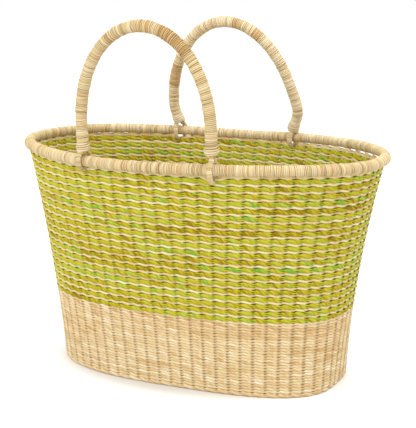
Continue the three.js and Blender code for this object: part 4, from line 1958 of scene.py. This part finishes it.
@dataclass
class Studio:
    """Camera, floor and soft light."""

    azimuth: float = 24.58
    elevation: float = 12.3
    target: Vector = (8.31 * MM, 0.0, 169.17 * MM)
    distance: float = 1441.9 * MM
    lens: float = 108.93
    shift_y: float = 0.0112
    floor_radius: float = 7.0
    near_glow: float = 0.0
    far_glow: float = 0.34
    shadow_half_length: float = 192 * MM
    shadow_half_depth: float = 124 * MM
    shadow_start: float = 0.74
    floor_colour: Colour = (0.72, 0.71, 0.7)
    floor_corners: int = 96
    aim_height: float = 0.17
    lamps: tuple[Lamp, ...] = (
        Lamp("key", (-1.1, -1.8, 1.9), 1.4, 28.0),
        Lamp("fill", (1.8, -1.4, 1.2), 3.0, 14.0),
        Lamp("top", (0.9, 0.4, 2.5), 1.8, 30.0, (1.0, 0.96, 0.88)),
    )

    def camera(self) -> None:
        """Puts the camera at the photograph's viewing angle, looking at the target."""
        azimuth, elevation = math.radians(self.azimuth), math.radians(self.elevation)
        back = np.array(
            [
                math.sin(azimuth) * math.cos(elevation),
                -math.cos(azimuth) * math.cos(elevation),
                math.sin(elevation),
            ]
        )
        data = bpy.data.cameras.new("camera")
        data.sensor_width = 36
        data.lens = self.lens
        data.shift_y = self.shift_y
        camera = bpy.data.objects.new("camera", data)
        camera.location = np.array(self.target) + self.distance * back
        camera.rotation_euler = (math.pi / 2 - elevation, 0.0, azimuth)
        bpy.context.scene.collection.objects.link(camera)
        bpy.context.scene.camera = camera

    def floor(self) -> None:
        """Lays a pale round floor that shows white to the camera and keeps the basket's shadow."""
        corners = self.floor_corners
        turn = 2 * np.pi * np.arange(corners) / corners
        rim = np.stack([np.cos(turn), np.sin(turn), np.zeros(corners)], axis=-1) * self.floor_radius
        mesh = bpy.data.meshes.new("floor")
        mesh.from_pydata(rim.tolist(), [], [list(range(corners))])
        floor = bpy.data.objects.new("floor", mesh)
        bpy.context.scene.collection.objects.link(floor)
        mesh.materials.append(self.floor_material())

    def floor_material(self) -> bpy.types.Material:
        """White matt floor with a little light of its own for camera, glossy and transmission rays.

        That light grows outward over an oval a little larger than the basket's base, from near_glow
        at its edge to far_glow, so that the shadow shows close in and the floor is white beyond it.

        Returns:
            The material.
        """
        material, tree, shader = new_material("pale_floor")
        shader["Base Color"].default_value = (*self.floor_colour, 1.0)
        shader["Roughness"].default_value = 0.9
        shader["Specular IOR Level"].default_value = 0.0
        shader["Emission Color"].default_value = (1.0, 1.0, 1.0, 1.0)
        place = add_node(tree, "TexCoord").outputs["Object"]
        shares = (1 / self.shadow_half_length, 1 / self.shadow_half_depth, 0.0)
        scaled = add_node(tree, "VectorMath", {0: place, 1: shares}, operation="MULTIPLY")
        reach = add_node(tree, "VectorMath", {0: scaled.outputs["Vector"]}, operation="LENGTH")
        glow = add_node(
            tree,
            "MapRange",
            {
                "Value": reach.outputs["Value"],
                "From Min": self.shadow_start,
                "From Max": 1.0,
                "To Min": self.near_glow,
                "To Max": self.far_glow,
            },
            interpolation_type="SMOOTHSTEP",
        )
        seen = self.seen_directly(tree, glow.outputs["Result"])
        tree.links.new(seen, shader["Emission Strength"])
        return material

    @staticmethod
    def seen_directly(tree: bpy.types.NodeTree, strength: bpy.types.NodeSocket) -> bpy.types.NodeSocket:
        """Strength for camera, glossy and transmission rays, and 0 for the rays that light things.

        Args:
            tree: node tree that it is built in.
            strength: socket of the value for those rays.

        Returns:
            The socket that carries it.
        """
        rays = add_node(tree, "LightPath").outputs
        seen = rays["Is Camera Ray"]
        for ray in (rays["Is Glossy Ray"], rays["Is Transmission Ray"]):
            seen = add_node(tree, "Math", {0: seen, 1: ray}, operation="MAXIMUM").outputs[0]
        return add_node(tree, "Math", {0: seen, 1: strength}, operation="MULTIPLY").outputs[0]

    def world(self) -> None:
        """A plain white surround, which gives most of the light."""
        world = bpy.data.worlds.new("surround")
        world.use_nodes = True
        background = world.node_tree.nodes["Background"]
        background.inputs["Color"].default_value = (1.0, 1.0, 1.0, 1.0)
        background.inputs["Strength"].default_value = 1.0
        bpy.context.scene.world = world

    def hang(self, lamp: Lamp) -> None:
        """Hangs a lamp so that it faces the middle of the basket.

        Args:
            lamp: the lamp.
        """
        data = bpy.data.lights.new(lamp.name, "AREA")
        data.size = lamp.size
        data.energy = lamp.power
        data.color = lamp.colour
        light = bpy.data.objects.new(lamp.name, data)
        light.location = lamp.place
        aim = unit(np.array([0.0, 0.0, self.aim_height]) - np.array(lamp.place))
        light.rotation_euler = (math.acos(-aim[2]), 0.0, math.atan2(-aim[0], aim[1]))
        bpy.context.scene.collection.objects.link(light)

    def build(self) -> None:
        """Sets up camera, floor, surround and lamps, and plain view settings."""
        self.camera()
        self.floor()
        self.world()
        for lamp in self.lamps:
            self.hang(lamp)
        bpy.context.scene.view_settings.view_transform = "Standard"


def main() -> None:
    """Builds the pieces in order and reports each one."""
    logging.basicConfig(level=logging.INFO, format="%(name)s %(message)s")
    Studio().build()
    wall = OvalWall()
    handles = (
        SwingHandle(
            Side.FRONT,
            Body.FRONT,
            lean=3.5,
            arch_rise=107.5 * MM,
            arch_half_span=74.6 * MM,
            feet=(
                Foot(wrap_end=9.5 * MM, skew=1.7 * MM, aside=0.5 * MM),
                Foot(
                    wrap_end=17 * MM,
                    skew=-0.7 * MM,
                    aside=1.0 * MM,
                    drop=1.35,
                    swell=1.3 * MM,
                    pressed=7 * MM,
                ),
            ),
            finish=WOUND,
            shoulder=1.5 * MM,
            tan_runs=((0.56, 0.655),),
        ),
        SwingHandle(
            Side.BACK,
            Body.BACK,
            lean=14.0,
            arch_rise=103.5 * MM,
            arch_half_span=76.8 * MM,
            feet=(
                Foot(wrap_end=12.3 * MM, aside=-2 * MM),
                Foot(wrap_end=11.0 * MM, aside=1.5 * MM, skew=1.0 * MM, bow=3.0 * MM, pressed=5.2 * MM),
            ),
            # The lighter copy of the wound grass, as painted light on the back handle.
            finish=WOUND_PAINTED_LIGHTER,
            half_span=70 * MM,
            shoulder=-2.0 * MM,
            tan_runs=((0.17, 0.25), (0.53, 0.56), (0.60, 0.63)),
        ),
    )
    feet = [
        handle.origin() + handle.placed(np.array([way * handle.half_span + foot.aside, 0.0, 0.0]))
        for handle in handles
        for way, foot in zip((-1, 1), handle.feet)
    ]
    pressed = [foot.pressed for handle in handles for foot in handle.feet]
    band = StripedBand(wall, EyePlaces.on(wall, feet, pressed, StripedBand.top))
    band.build()
    PlainBand(wall).build()
    Heel(wall).build()
    TwinedFloor(wall).build()
    Stakes(wall, band.eyes).build()
    WoundRim().build()
    for handle in handles:
        handle.build()


if __name__ == "__main__":
    main()
